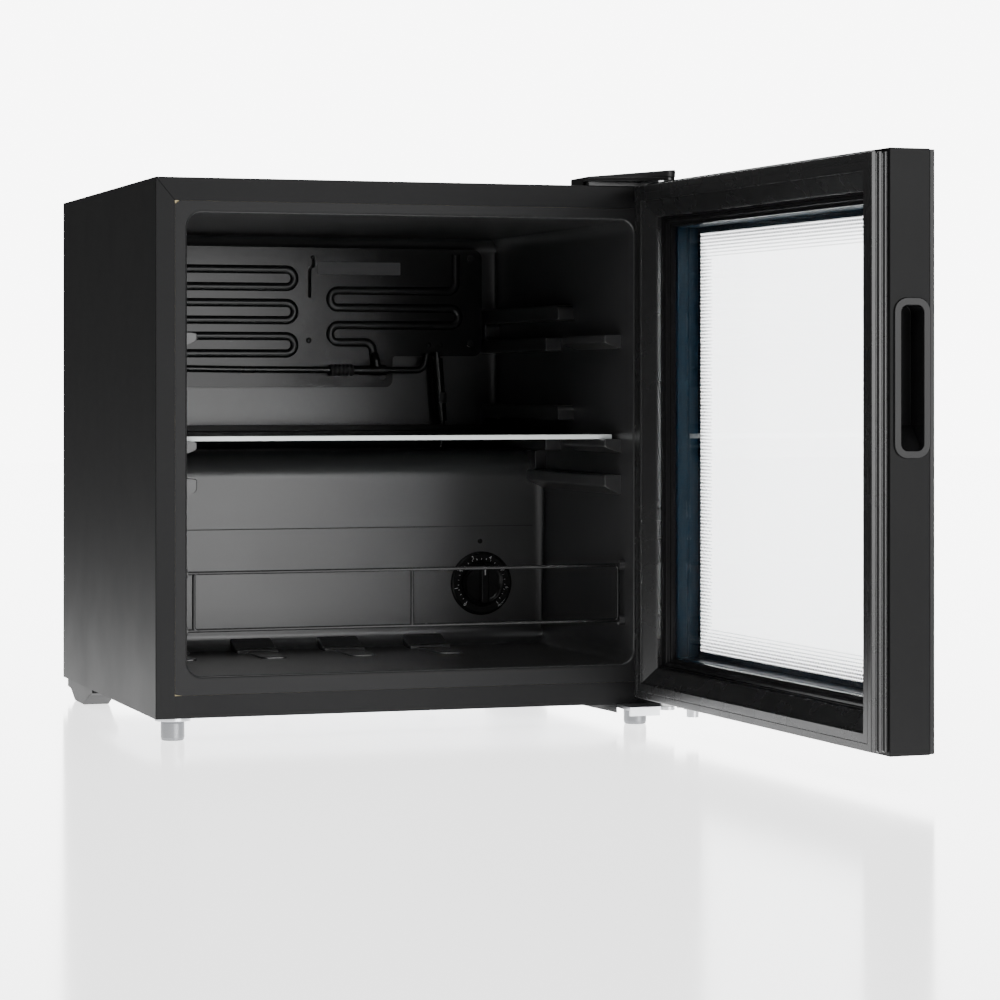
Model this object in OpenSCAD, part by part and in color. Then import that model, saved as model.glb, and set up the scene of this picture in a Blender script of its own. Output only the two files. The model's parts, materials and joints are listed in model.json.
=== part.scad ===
// Table-top compressor cooler with one glazed door.
// Frame: origin on the floor under the centre of the cabinet, +X to the right,
// -Y to the front, +Z up. Millimetres. The door is drawn closed and then hung open.

/* [Cabinet] */
// Width of the cabinet
body_w = 440; // [360:5:600]
// Height of the cabinet without its feet
body_h = 440; // [400:5:900]
// Depth of the cabinet from the front flange to the back panel
body_d = 400; // [360:5:560]
// Clearance under the cabinet
foot_h = 19; // [15:1:40]
// Thickness of the sheet steel
sheet_t = 0.8; // [0.5:0.1:1.5]
// Width of the steel front flange at each side
flange_side = 16; // [12:1:22]
// Width of the steel front flange at the top
flange_top = 19; // [14:1:26]
// Height of the steel rail under the opening
rail_h = 18.5; // [14:0.5:30]
// Depth of the rail's return under the cabinet
rail_return = 40; // [30:1:60]

/* [Liner] */
// Thickness of the plastic liner
liner_t = 1.5; // [1:0.1:2.5]
// Insulation wall at each side, from the outside to the opening
wall_side = 26.3; // [22:0.1:40]
// Insulation wall at the top
wall_top = 28.8; // [24:0.1:45]
// Insulation wall at the bottom
wall_bottom = 34; // [28:0.5:50]
// Insulation wall at the back
wall_back = 30; // [24:1:45]
// Radius of the corners of the opening
opening_r = 12; // [6:1:20]
// Radius of the coves inside
cove_r = 14; // [6:1:20]
// Depth from the front to the upright face of the compressor hump
hump_y = 235; // [190:1:300]
// Height of the top of the hump over the cabinet's underside
hump_h = 212; // [190:1:260]
// Radius of the hump's front edge
hump_r = 25; // [10:1:40]

/* [Shelf] */
// Height of the lowest pair of slotted guides over the hump
guide_rise = 12.4; // [4:0.1:60]
// Pitch of the slotted guides
guide_pitch = 89.6; // [60:0.1:120]
// Height of the slot that the shelf slides in
guide_slot = 15.2; // [8:0.1:24]
// How far the guides stand out from the side walls
guide_out = 15; // [8:0.5:20]
// Height of a guide rib
guide_rib_h = 12.5; // [8:0.5:20]
// Set-back of the guides from the front
guide_set_back = 30; // [20:1:60]
// Length of the front guide blocks
guide_front_l = 109; // [60:1:140]
// Notch between the front and the rear guide blocks
guide_notch = 44; // [20:1:60]
// Thickness of the glass shelf
shelf_t = 4; // [3:0.5:6]
// Set-back of the shelf's front edge
shelf_set_back = 45; // [42:1:80]
// Depth of the shelf
shelf_d = 288; // [200:1:300]
// Gap between the shelf and each side wall
shelf_side_gap = 2.5; // [1.5:0.5:6]
// Height of the bar along the shelf's rear edge
shelf_bar_h = 5.5; // [5:0.5:12]

/* [Bottle guard] */
// Radius of the guard's wires
guard_r = 1.5; // [1:0.25:2.5]
// Height of the lower wire over the floor of the liner
guard_low = 35.3; // [20:0.1:60]
// Distance between the two wires
guard_rise = 47.2; // [30:0.1:80]
// Set-back of the guard from the front
guard_set_back = 23; // [16:1:30]

/* [Evaporator] */
// Thickness of the evaporator plate
evap_t = 1.6; // [1:0.1:2.5]
// Gap between the plate and the back wall
evap_gap = 8; // [4:0.5:14]
// Gap between the plate and each side wall
evap_side_gap = 17.5; // [8:0.5:30]
// Gap between the plate and the ceiling
evap_top_gap = 11; // [6:1:20]
// Room between the plate's lower edge and the top of the hump
evap_under_gap = 57; // [50:1:90]
// Height of the step in the plate's lower edge
evap_step_h = 29.5; // [15:0.5:40]
// Width of the raised part of the plate's lower edge
evap_step_w = 89; // [60:1:120]
// Radius of the plate's corners
evap_corner_r = 9; // [3:1:14]
// Half the width of a channel
channel_r = 4; // [3:0.25:5]
// Height of the channels over the plate
channel_h = 2.6; // [1.5:0.1:4]
// Distance between the runs of a channel
channel_pitch = 16.3; // [10:0.1:22]
// Pitch of the loops on the left of the plate
loop_pitch = 31.2; // [26:0.1:40]

/* [Thermostat] */
// Distance of the dial from the right-hand wall
dial_from_wall = 59.4; // [40:0.1:120]
// Height of the dial over the floor of the liner
dial_z = 55.7; // [40:0.1:90]
// Outer radius of the dial's ring
dial_r = 29; // [22:0.5:35]
// Radius of the knob
knob_r = 19; // [14:0.5:24]
// Height of the knob over the ring
knob_h = 13; // [8:0.5:20]
// Radius of the thermostat's shaft
shaft_r = 3; // [2:0.5:4]

/* [Door] */
// Height of the door less than the cabinet's
door_short = 4; // [0:1:12]
// Height of the door's lower edge over the cabinet's underside
door_lift = 5; // [3:0.5:12]
// Distance between the cabinet's front and the door frame
door_gap = 14; // [10:0.5:20]
// Depth of the plastic door frame
frame_d = 32.4; // [26:0.1:40]
// Width of the door frame's box section
frame_w = 31; // [26:0.5:40]
// Width of the glazing bead inside the frame
bead_w = 7.5; // [4:0.5:12]
// Thickness of the glass panes
pane_t = 4; // [3:0.5:6]
// Depth of the inner pane's face in the frame
pane_depth = 9.4; // [6:0.1:12]
// Width of the gasket
gasket_w = 26.5; // [18:0.5:28]
// Set-back of the gasket from the door's edge
gasket_set_back = 3; // [2:0.5:6]
// Clearance between the closed gasket and the cabinet
gasket_clear = 0.6; // [0.4:0.1:1.5]
// Angle at which the door is drawn open
door_open = 92; // [0:1:115]
// Distance of the hinge axis from the door's side
pin_side = 7; // [7:0.5:12]
// Distance of the hinge axis from the frame's inner face
pin_depth = 15; // [10:0.5:20]
// Radius of the hinge pins
pin_r = 3; // [2:0.25:3.5]
// Radius of the hinge bushes
bush_r = 5; // [4.5:0.25:6]
// Length of the hinge pins inside the door
pin_in = 14; // [8:1:25]

/* [Handle] */
// Length of the grip's opening
grip_l = 104.3; // [70:0.1:150]
// Width of the grip's opening
grip_w = 18; // [12:0.5:20]
// Depth of the grip
grip_d = 19; // [12:0.5:22]
// Wall of the grip insert
grip_t = 1.8; // [1:0.1:2.5]
// Width of the rim around the opening
grip_rim = 5.6; // [3:0.1:6]
// Height of the grip's middle over the door's middle
grip_up = 53; // [0:1:80]

/* [Feet] */
// Radius of a front foot
foot_r = 9.7; // [8:0.1:14]
// Radius of a foot's threaded stud
stud_r = 4; // [3:0.5:5]
// Distance of the feet from the side and from the front
foot_in = 18; // [14:1:30]
// Width of a rear skid
skid_w = 24; // [16:1:36]
// Length of a rear skid
skid_l = 117; // [80:1:125]

/* [Cooling] */
// Radius of the compressor's shell
comp_r = 58; // [45:1:60]
// Height of the compressor's shell
comp_h = 132; // [100:1:140]
// Place of the compressor along the width
comp_x = 30; // [-60:1:60]
// Radius of the suction line
suction_r = 3.2; // [2.5:0.1:4]
// Radius of the condenser's tube
cond_r = 2.4; // [2:0.1:3.5]
// Distance of the condenser from the back panel
cond_out = 18; // [12:1:30]
// Pitch of the condenser's rows
cond_pitch = 24; // [16:1:40]
// Width of the condenser
cond_w = 310; // [200:5:400]
// Pitch of the condenser's wires
wire_pitch = 10; // [6:1:20]
// Radius of the condenser's wires
wire_r = 0.8; // [0.6:0.1:1.2]

/* [Hidden] */
$fn = 48;
eps = 1;
run_clear = 0.06;
fit_clear = 0.15;
seat_clear = 0.4;

// Planes of the cabinet
left = -body_w / 2;
right = body_w / 2;
front = -body_d / 2;
back = body_d / 2;
base = foot_h;
top = foot_h + body_h;

// Inside of the liner
in_left = left + wall_side;
in_right = right - wall_side;
in_floor = base + wall_bottom;
in_top = top - wall_top;
in_back = back - wall_back;
hump_front = front + hump_y;
hump_top = base + hump_h;
in_w = in_right - in_left;

// Compressor bay behind and under the hump
bay_front = hump_front + wall_back;
bay_top = hump_top - wall_back;

// Colours
black = "#1c1c1e";
satin = "#242426";
dark = "#101011";
zinc = "#b9bcc0";
steel = "#8b8f94";
copper = "#b5714a";
clear_glass = "#c9d6d680";

module rounded_rect(w, h, r) {
    translate([r, 0]) square([w - 2 * r, h]);
    translate([0, r]) square([w, h - 2 * r]);
    for (x = [r, w - r], y = [r, h - r]) translate([x, y]) circle(r);
}

// A rounded plate whose outline stands upright, facing the front
module upright(x0, z0, w, h, r, y0, depth) {
    translate([x0, y0 + depth, z0]) rotate([90, 0, 0]) linear_extrude(depth) rounded_rect(w, h, r);
}

// A profile given in Y and Z, drawn out along X
module along_x(x0, x1) {
    translate([x0, 0, 0]) rotate([90, 0, 90]) linear_extrude(x1 - x0) children();
}

// A round bar between two points that share two coordinates
module bar_x(x0, x1, y, z, r) { translate([x0, y, z]) rotate([0, 90, 0]) cylinder(x1 - x0, r, r); }
module bar_y(x, y0, y1, z, r) { translate([x, y0, z]) rotate([-90, 0, 0]) cylinder(y1 - y0, r, r); }
module bar_z(x, y, z0, z1, r) { translate([x, y, z0]) cylinder(z1 - z0, r, r); }

// A straight run of a flat channel in the plane of the back wall
module run_2d(x0, x1, z, r) { translate([x0, z - r]) square([x1 - x0, 2 * r]); }

// Half a ring that joins two runs; side is 1 to bulge right, -1 left
module bend_2d(x, z, bend, r, side) {
    reach = bend + r + eps;
    translate([x, z]) difference() {
        circle(bend + r);
        circle(bend - r);
        translate([side > 0 ? -reach : 0, -reach]) square([reach, 2 * reach]);
    }
}

// A serpentine of runs from the top down, with the first bend on the left
module serpentine_2d(x0, x1, z, rows, pitch, r) {
    for (i = [0 : rows - 1]) run_2d(x0, x1, z - i * pitch, r);
    for (i = [0 : rows - 2])
        bend_2d(i % 2 == 0 ? x0 : x1, z - (i + 0.5) * pitch, pitch / 2, r, i % 2 == 0 ? -1 : 1);
}

// A quarter turn of tube that starts along +X of its own frame
module quarter_bend(bend, r) {
    rotate_extrude(angle = 90) translate([bend, 0]) circle(r);
}

module screw(head_r, head_h, shank_r, shank_l) {
    cylinder(head_h, head_r, head_r * 0.8);
    translate([0, 0, -shank_l]) cylinder(shank_l, shank_r, shank_r);
}

// ---------- Cabinet sheet metal ----------

module outer_shell() color(satin) difference() {
    translate([left, front, base]) cube([body_w, body_d, body_h]);
    translate([left + sheet_t, front + sheet_t, base - eps])
        cube([body_w - 2 * sheet_t, body_d, body_h - sheet_t + eps]);
    translate([left + flange_side, front - eps, base - eps])
        cube([body_w - 2 * flange_side, sheet_t + 2 * eps, body_h - flange_top + eps]);
    top_hinge_shanks(fit_clear);
}

module bottom_rail() color(satin) difference() {
    union() {
        translate([left + flange_side, front, base])
            cube([body_w - 2 * flange_side, sheet_t, rail_h]);
        translate([left + sheet_t, front + sheet_t, base])
            cube([body_w - 2 * sheet_t, rail_return - sheet_t, sheet_t]);
    }
    foot_bores(run_clear);
    bottom_hinge_shanks(fit_clear);
}

module rear_panel() color(satin) difference() {
    translate([left + sheet_t, back - sheet_t, bay_top + sheet_t])
        cube([body_w - 2 * sheet_t, sheet_t, top - bay_top - 2 * sheet_t]);
    rear_screw_shanks(fit_clear);
}

module base_pan() color(steel) difference() {
    along_x(left + sheet_t, right - sheet_t) polygon([
        [front + rail_return, base], [bay_front, base], [bay_front, bay_top], [back, bay_top],
        [back, bay_top + sheet_t], [bay_front - sheet_t, bay_top + sheet_t],
        [bay_front - sheet_t, base + sheet_t], [front + rail_return, base + sheet_t]]);
    suction_bore(seat_clear);
}

// ---------- Insulation and liner ----------

// Side view of the inside; t grows it by the wall of the liner
module inside_profile(t) {
    start = front;
    translate([start, in_floor - t])
        rounded_foot(hump_front - start + t, in_top - in_floor + 2 * t, cove_r + t);
    translate([start, hump_top - t])
        rounded_foot(in_back - start + t, in_top - hump_top + 2 * t, cove_r + t);
    translate([hump_front + t, hump_top - t - (hump_r - t)]) difference() {
        square(hump_r - t);
        translate([hump_r - t, 0]) circle(hump_r - t);
    }
}

// A rectangle whose two far corners are round
module rounded_foot(w, h, r) {
    square([w - r, h]);
    translate([0, r]) square([w, h - 2 * r]);
    for (y = [r, h - r]) translate([w - r, y]) circle(r);
}

module inside_space(t) intersection() {
    upright(in_left - t, in_floor - t, in_w + 2 * t, in_top - in_floor + 2 * t, opening_r + t,
        front, body_d);
    along_x(in_left - t - eps, in_right + t + eps) inside_profile(t);
}

module liner_flange() {
    edge = 0.6;
    translate([left + flange_side + edge, front, base + rail_h + edge])
        cube([body_w - 2 * (flange_side + edge), liner_t,
            body_h - rail_h - flange_top - 2 * edge]);
}

module insulation() color("#d9c98e") difference() {
    translate([left + sheet_t, front + sheet_t, base + sheet_t])
        cube([body_w - 2 * sheet_t, body_d - 2 * sheet_t, body_h - 2 * sheet_t]);
    translate([left, bay_front - sheet_t, base])
        cube([body_w, body_d, bay_top - base + sheet_t]);
    inside_space(liner_t);
    liner_flange();
    thermostat_pocket();
    top_hinge_shanks(seat_clear);
    bottom_hinge_shanks(seat_clear);
    rear_screw_shanks(seat_clear);
    foot_bores(seat_clear);
    evaporator_shanks(seat_clear);
    suction_bore(seat_clear);
}

// One guide rib on the left wall: flat on top, cut away underneath
module guide_rib(y0, y1, z, h) {
    translate([in_left, y1, z]) rotate([90, 0, 0]) linear_extrude(y1 - y0)
        polygon([[0, 0], [guide_out, 0], [guide_out, -h * 0.55], [0, -h]]);
}

// The same rib turned over, for the upper lip of a slot
module guide_lip(y0, y1, z, h) {
    translate([in_left, y1, z]) rotate([90, 0, 0]) linear_extrude(y1 - y0)
        polygon([[0, 0], [guide_out, 0], [guide_out, h * 0.55], [0, h]]);
}

guide_y0 = front + guide_set_back;
guide_y1 = guide_y0 + guide_front_l;
guide_y2 = guide_y1 + guide_notch;
guide_lip_h = guide_rib_h + 1;
guide_first = hump_h + guide_rise;
guide_count = floor((in_top - base - guide_first - guide_slot - guide_lip_h) / guide_pitch) + 1;
low_guide_z = hump_top - 18.5;
low_guide_h = 18;

module guide_set() {
    for (i = [0 : guide_count - 1]) {
        z = base + guide_first + i * guide_pitch;
        guide_rib(guide_y0, guide_y1, z, guide_rib_h);
        guide_rib(guide_y2, in_back, z, guide_rib_h);
        guide_lip(guide_y1 + 10, in_back, z + guide_slot, guide_lip_h);
        translate([in_left, in_back - 12, z - guide_rib_h])
            cube([guide_out, 12, guide_rib_h + guide_slot + guide_lip_h]);
    }
    guide_rib(guide_y0, hump_front, low_guide_z, low_guide_h);
}

pad_w = 38;
pad_d = 28;
pad_h = 3;
tongue_w = 24;
tongue_d = 62;
pad_gap = 80;
pad_set_in = 31;
pad_count = floor((in_w - pad_set_in) / pad_gap);

module floor_pads() {
    for (i = [0 : pad_count - 1]) {
        x = in_left + pad_set_in + i * pad_gap;
        translate([x - pad_w / 2, hump_front - pad_d, in_floor]) cube([pad_w, pad_d, pad_h]);
        translate([x - tongue_w / 2, hump_front - pad_d - tongue_d, in_floor])
            cube([tongue_w, tongue_d, pad_h / 3]);
    }
}

module inner_liner() color(black) difference() {
    union() {
        difference() {
            union() {
                liner_flange();
                inside_space(liner_t);
            }
            inside_space(0);
        }
        intersection() {
            inside_space(liner_t / 2);
            floor_pads();
        }
    }
    bar_y(dial_x, hump_front - eps, bay_front, dial_zz, neck_r + fit_clear);
    evaporator_shanks(fit_clear);
    suction_bore(fit_clear);
}

// The guides stand out of the side walls and follow the coves at the back
module guides_in_place() color(black) intersection() {
    inside_space(0);
    guide_set();
}

module shelf_guides() {
    guides_in_place();
    mirror([1, 0, 0]) guides_in_place();
}

// ---------- Evaporator ----------

evap_left = in_left + evap_side_gap;
evap_right = in_right - evap_side_gap;
evap_top = in_top - evap_top_gap;
evap_low = hump_top + evap_under_gap;
evap_y = in_back - evap_gap;
run_y = evap_y - evap_t;
tail_z = evap_low + 16;
tail_y = run_y - 6;
tail_r = 3.2;
channel_margin = 1;
loop_set_in = 12;
loop_right = evap_right - 185;
loop_top = evap_top - 21;
loop_room = loop_top - channel_pitch - channel_r - tail_z - tail_r - channel_margin;
loop_count = floor(loop_room / loop_pitch) + 1;
serp_left = evap_right - 150 + channel_pitch / 2;
serp_right = evap_right - 23 - channel_pitch / 2;
serp_top = evap_top - 40;
serp_room = serp_top - channel_r - channel_margin - evap_low - evap_step_h;
serp_rows = 2 * floor((serp_room + channel_pitch) / (2 * channel_pitch));

module loop_channels() for (i = [0 : loop_count - 1]) {
    x = loop_right - channel_pitch / 2;
    run_2d(evap_left + loop_set_in, x, loop_top - i * loop_pitch, channel_r);
    run_2d(evap_left + loop_set_in, x, loop_top - i * loop_pitch - channel_pitch, channel_r);
    bend_2d(x, loop_top - i * loop_pitch - channel_pitch / 2, channel_pitch / 2, channel_r, 1);
}

module evaporator_plate() color(dark) difference() {
    union() {
        difference() {
            upright(evap_left, evap_low, evap_right - evap_left, evap_top - evap_low,
                evap_corner_r, run_y, evap_t);
            translate([evap_right - evap_step_w, run_y - eps, evap_low - eps])
                cube([evap_step_w + eps, evap_t + 2 * eps, evap_step_h + eps]);
        }
        translate([0, run_y + evap_t / 2, 0]) rotate([90, 0, 0])
            linear_extrude(channel_h + evap_t / 2) {
                loop_channels();
                serpentine_2d(serp_left, serp_right, serp_top, serp_rows, channel_pitch, channel_r);
            }
    }
    evaporator_shanks(fit_clear);
}

post_at = [[evap_left + 8, evap_top - 8], [evap_right - 12, evap_top - 8],
    [evap_left + 8, evap_low + 10], [evap_right - evap_step_w - 10, evap_low + 10],
    [evap_right - 12, evap_low + evap_step_h + 12]];

module evaporator_shanks(grow) {
    for (p = post_at) bar_y(p[0], run_y - eps, in_back + liner_t + 8, p[1], 1.6 + grow);
}

module evaporator_posts() color("#2a2a2c") for (p = post_at) {
    difference() {
        bar_y(p[0], evap_y, in_back, p[1], 4);
        bar_y(p[0], evap_y - eps, in_back + eps, p[1], 1.6);
    }
    bar_y(p[0], run_y, in_back + liner_t + 8, p[1], 1.6);
    bar_y(p[0], run_y - 1.8, run_y, p[1], 3.4);
}

tail_x = evap_right - 152;
tail_bend = 8;
tail_l = 62;
sleeve_l = 22;

module evaporator_tail() color(dark) {
    bend_x = tail_x + sleeve_l + tail_l;
    bar_x(evap_left + 20, tail_x, tail_y, tail_z, tail_r);
    bar_x(tail_x + sleeve_l, bend_x, tail_y, tail_z, tail_r);
    translate([bend_x, tail_y, tail_z + tail_bend]) rotate([90, 0, 0]) rotate([0, 0, -90])
        quarter_bend(tail_bend, tail_r);
    bar_z(bend_x + tail_bend, tail_y, tail_z + tail_bend, tail_z + 2 * tail_bend, tail_r);
}

module tail_sleeve() color(dark) {
    bar_x(tail_x, tail_x + sleeve_l, tail_y, tail_z, tail_r + 1.4);
    for (i = [0 : 4]) bar_x(tail_x + 2 + i * 4, tail_x + 4 + i * 4, tail_y, tail_z, tail_r + 2.8);
}

suction_x = evap_right - 43.5;
suction_y = run_y - 8;
suction_low = base + 92;
suction_bend = 12;
clip_z = hump_top + 42;
clip_h = 10;

module suction_bore(grow) {
    bar_z(suction_x, suction_y, bay_top - eps, hump_top + eps, suction_r + grow);
}

module suction_line() color(dark) {
    bar_z(suction_x, suction_y, suction_low, evap_low + evap_step_h + 4, suction_r);
    translate([suction_x - suction_bend, suction_y, suction_low]) rotate([-90, 0, 0])
        quarter_bend(suction_bend, suction_r);
    bar_x(comp_x + comp_r * 0.86, suction_x - suction_bend, suction_y,
        suction_low - suction_bend, suction_r);
}

module suction_clip() color("#303033") difference() {
    bar_z(suction_x, suction_y, clip_z, clip_z + clip_h, suction_r + 2.4);
    bar_z(suction_x, suction_y, clip_z - eps, clip_z + clip_h + eps, suction_r);
}

// ---------- Thermostat ----------

dial_x = in_right - dial_from_wall;
dial_zz = in_floor + dial_z;
neck_r = 5;
ring_t = 2.5;
body_gap = 0.5;

module thermostat_pocket() {
    translate([dial_x - 24, hump_front + liner_t - eps, dial_zz - 19])
        cube([48, wall_back - liner_t - sheet_t - body_gap + eps, 38]);
    bar_y(dial_x, hump_front, hump_front + 10, dial_zz, neck_r + fit_clear);
}

module thermostat_body() color(zinc) difference() {
    union() {
        translate([dial_x - 22, hump_front + liner_t, dial_zz - 17]) cube([44, 22, 34]);
        bar_y(dial_x, hump_front - 1.5, hump_front + liner_t + 1, dial_zz, neck_r);
    }
    bar_y(dial_x, hump_front - 2 - eps, hump_front + 16, dial_zz, shaft_r + run_clear);
}

module thermostat_ring() color(satin) difference() {
    bar_y(dial_x, hump_front - ring_t, hump_front, dial_zz, dial_r);
    bar_y(dial_x, hump_front - ring_t - eps, hump_front - 1, dial_zz, knob_r + 0.8);
    bar_y(dial_x, hump_front - ring_t - eps, hump_front + eps, dial_zz, neck_r + fit_clear);
}

module thermostat_shaft() color(steel) {
    bar_y(dial_x, hump_front - 10, hump_front + 15, dial_zz, shaft_r);
}

module thermostat_knob() color(satin) difference() {
    union() {
        bar_y(dial_x, hump_front - 6, hump_front - 2, dial_zz, knob_r);
        translate([dial_x - 3.5, hump_front - knob_h, dial_zz - knob_r * 0.93])
            cube([7, knob_h - 6, knob_r * 1.86]);
    }
    bar_y(dial_x, hump_front - 10, hump_front - 1, dial_zz, shaft_r);
}

// ---------- Shelf and bottle guard ----------

shelf_x0 = in_left + shelf_side_gap;
shelf_w = in_w - 2 * shelf_side_gap;
shelf_z = base + guide_first;
shelf_y0 = front + shelf_set_back;
bar_t = 8;

module shelf_glass() color(clear_glass)
    translate([shelf_x0, shelf_y0, shelf_z]) cube([shelf_w, shelf_d - bar_t / 2, shelf_t]);

module shelf_rear_bar() color(dark) difference() {
    translate([shelf_x0, shelf_y0 + shelf_d - bar_t, shelf_z])
        cube([shelf_w, bar_t, shelf_t + shelf_bar_h]);
    translate([shelf_x0 - eps, shelf_y0 + shelf_d - bar_t - eps, shelf_z - eps])
        cube([shelf_w + 2 * eps, bar_t / 2 + eps, shelf_t + eps]);
}

guard_y = front + guard_set_back;
guard_z = in_floor + guard_low;
cup_l = 5;
cup_r = 4;

wire_end = 1.5;
upright_in = 4;

module bottle_guard() color(dark) {
    x0 = in_left + wire_end;
    x1 = in_right - wire_end;
    for (z = [guard_z, guard_z + guard_rise]) bar_x(x0, x1, guard_y, z, guard_r);
    for (x = [x0 + 2 * upright_in + 1, upright_in, x1 - upright_in])
        bar_z(x, guard_y, guard_z, guard_z + guard_rise, guard_r);
}

module guard_cups() color(black) for (z = [guard_z, guard_z + guard_rise], s = [-1, 1])
    mirror([s < 0 ? 1 : 0, 0, 0]) difference() {
        bar_x(in_right - cup_l, in_right, guard_y, z, cup_r);
        bar_x(in_right - cup_l - eps, in_right - 1, guard_y, z, guard_r + fit_clear);
        bar_z(in_right - wire_end - upright_in, guard_y, z - cup_r - eps, z + cup_r + eps,
            guard_r + fit_clear);
    }

// ---------- Feet ----------

foot_x = right - foot_in;
foot_y = front + foot_in;
plate_t = 3;

module foot_bores(grow) {
    for (x = [-foot_x, foot_x]) bar_z(x, foot_y, base - plate_t - eps, base + 15, stud_r + grow);
}

module foot(x) color(zinc) {
    bar_z(x, foot_y, 0, 2, foot_r - 0.8);
    bar_z(x, foot_y, 2, base - plate_t - seat_clear, foot_r);
    bar_z(x, foot_y, base - plate_t - seat_clear, base + 12, stud_r);
}

module front_left_foot() foot(-foot_x);
module front_right_foot() foot(foot_x);

module foot_plate() color(zinc) difference() {
    translate([-foot_x, foot_y, base - plate_t]) cylinder(plate_t, foot_r + 5, foot_r + 5);
    foot_bores(run_clear);
}

module skid(x0) color(dark) along_x(x0, x0 + skid_w) polygon([
    [back, base], [back, base - 9], [back - 15, base - 10], [back - 35, 0], [back - 75, 0],
    [back - 100, base - 9], [back - skid_l, base - 5], [back - skid_l, base]]);

module rear_skids() {
    skid(left + 4);
    skid(right - 4 - skid_w);
}

// ---------- Compressor and condenser ----------

bay_w = body_w - 2 * sheet_t;
comp_y = bay_front + comp_r + 8;
plate_top = base + 1.5;
grommet_h = 10;
comp_z = plate_top + grommet_h + 3;
bolt_at = [for (x = [-1, 1], y = [-1, 1]) [comp_x + x * 70, comp_y + y * 42]];

module compressor_plate() color(steel) difference() {
    translate([left + sheet_t, bay_front + eps, base]) cube([bay_w, back - bay_front - eps, 1.5]);
    for (p = bolt_at) bar_z(p[0], p[1], base - eps, base + 3, 3 + fit_clear);
}

module compressor_grommets() color(dark) for (p = bolt_at) difference() {
    bar_z(p[0], p[1], plate_top, plate_top + grommet_h, 9);
    bar_z(p[0], p[1], plate_top - eps, plate_top + grommet_h + eps, 3 + fit_clear);
}

module compressor_bolts() color(zinc) for (p = bolt_at) {
    bar_z(p[0], p[1], base - 2.5, base, 6);
    bar_z(p[0], p[1], base, plate_top + grommet_h + 8, 3);
    bar_z(p[0], p[1], comp_z, comp_z + 4, 5.5);
}

module compressor_feet() color(dark) difference() {
    translate([comp_x - 84, comp_y - 52, comp_z - 3]) cube([168, 104, 3]);
    bar_z(comp_x, comp_y, comp_z - 4, comp_z + eps, comp_r - 12);
    for (p = bolt_at) bar_z(p[0], p[1], comp_z - 4, comp_z + eps, 3 + fit_clear);
    for (x = [-1, 1]) translate([comp_x + x * 84 - 12, comp_y - 26, comp_z - 4]) cube([24, 52, 6]);
}

module compressor_shell() color(dark) difference() {
    translate([comp_x, comp_y, comp_z]) rotate_extrude() {
        square([comp_r - 14, comp_h]);
        translate([0, 14]) square([comp_r - 2, comp_h - 40]);
        translate([comp_r - 16, 14]) circle(14);
        translate([comp_r - 28, comp_h - 26]) circle(26);
        translate([0, comp_h * 0.45]) square([comp_r, 6]);
    }
    bar_x(comp_x + comp_r * 0.6, comp_x + comp_r + 4, suction_y, suction_low - suction_bend,
        suction_r + fit_clear);
    discharge_drop(cond_r + fit_clear);
}

relay_z = comp_z + 34;

module relay_cover() color(black) difference() {
    translate([comp_x - comp_r - 34, comp_y - 22, relay_z]) cube([60, 44, 50]);
    bar_z(comp_x, comp_y, relay_z - eps, relay_z + 60, comp_r + 0.4);
}

module cord_bush() color(dark) difference() {
    bar_y(comp_x - comp_r - 18, comp_y + 22, comp_y + 32, relay_z + 12, 7);
    bar_y(comp_x - comp_r - 18, comp_y + 24, comp_y + 32 + eps, relay_z + 12, 3.5);
}

cond_y = back + cond_out;
cond_left = -cond_w / 2;
cond_right = cond_w / 2;
cond_top = top - 34;
cond_rows = 2 * floor((cond_top - bay_top - 40) / (2 * cond_pitch)) + 1;
cond_low = cond_top - (cond_rows - 1) * cond_pitch;
leg_out = 26;
leg_bend = 6;

leg_x = cond_right + leg_out;
leg_low = bay_top - 20;

module condenser_tube() color(dark)
    translate([0, cond_y + cond_r, 0]) rotate([90, 0, 0]) linear_extrude(2 * cond_r) {
        serpentine_2d(cond_left, cond_right, cond_top, cond_rows, cond_pitch, cond_r);
        run_2d(cond_right, leg_x, cond_top, cond_r);
        translate([leg_x, cond_top - leg_bend]) difference() {
            circle(leg_bend + cond_r);
            circle(leg_bend - cond_r);
            translate([-leg_bend - cond_r - eps, -leg_bend - cond_r - eps])
                square([2 * (leg_bend + cond_r + eps), leg_bend + cond_r + eps]);
            translate([-leg_bend - cond_r - eps, 0])
                square([leg_bend + cond_r + eps, leg_bend + cond_r + eps]);
        }
        translate([leg_x + leg_bend - cond_r, leg_low])
            square([2 * cond_r, cond_top - leg_bend - leg_low]);
    }

discharge_x = comp_x + comp_r * 0.4;
discharge_y = comp_y + 20;
discharge_z = leg_low - leg_bend;

// The drop of the discharge line into the top of the compressor
module discharge_drop(r) {
    bar_z(discharge_x, discharge_y - leg_bend, comp_z + comp_h - 16, discharge_z - leg_bend, r);
}

module discharge_line() color(copper) {
    x = leg_x + leg_bend;
    translate([x, cond_y - leg_bend, leg_low]) rotate([0, 90, 0]) quarter_bend(leg_bend, cond_r);
    bar_y(x, discharge_y, cond_y - leg_bend, discharge_z, cond_r);
    translate([x - leg_bend, discharge_y, discharge_z]) rotate([0, 0, -90])
        quarter_bend(leg_bend, cond_r);
    bar_x(discharge_x + leg_bend, x - leg_bend, discharge_y - leg_bend, discharge_z, cond_r);
    translate([discharge_x + leg_bend, discharge_y - leg_bend, discharge_z - leg_bend])
        rotate([90, 0, 0]) rotate([0, 0, 90]) quarter_bend(leg_bend, cond_r);
    discharge_drop(cond_r);
}

drier_x = cond_left + 6;

module filter_drier() color(copper) {
    bar_z(drier_x, back - 22, bay_top - 100, bay_top - 40, 8);
    bar_z(drier_x, back - 22, bay_top - 110, bay_top - 100, 3);
    bar_z(drier_x, back - 22, bay_top - 40, bay_top - 30, 3);
}

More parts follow.
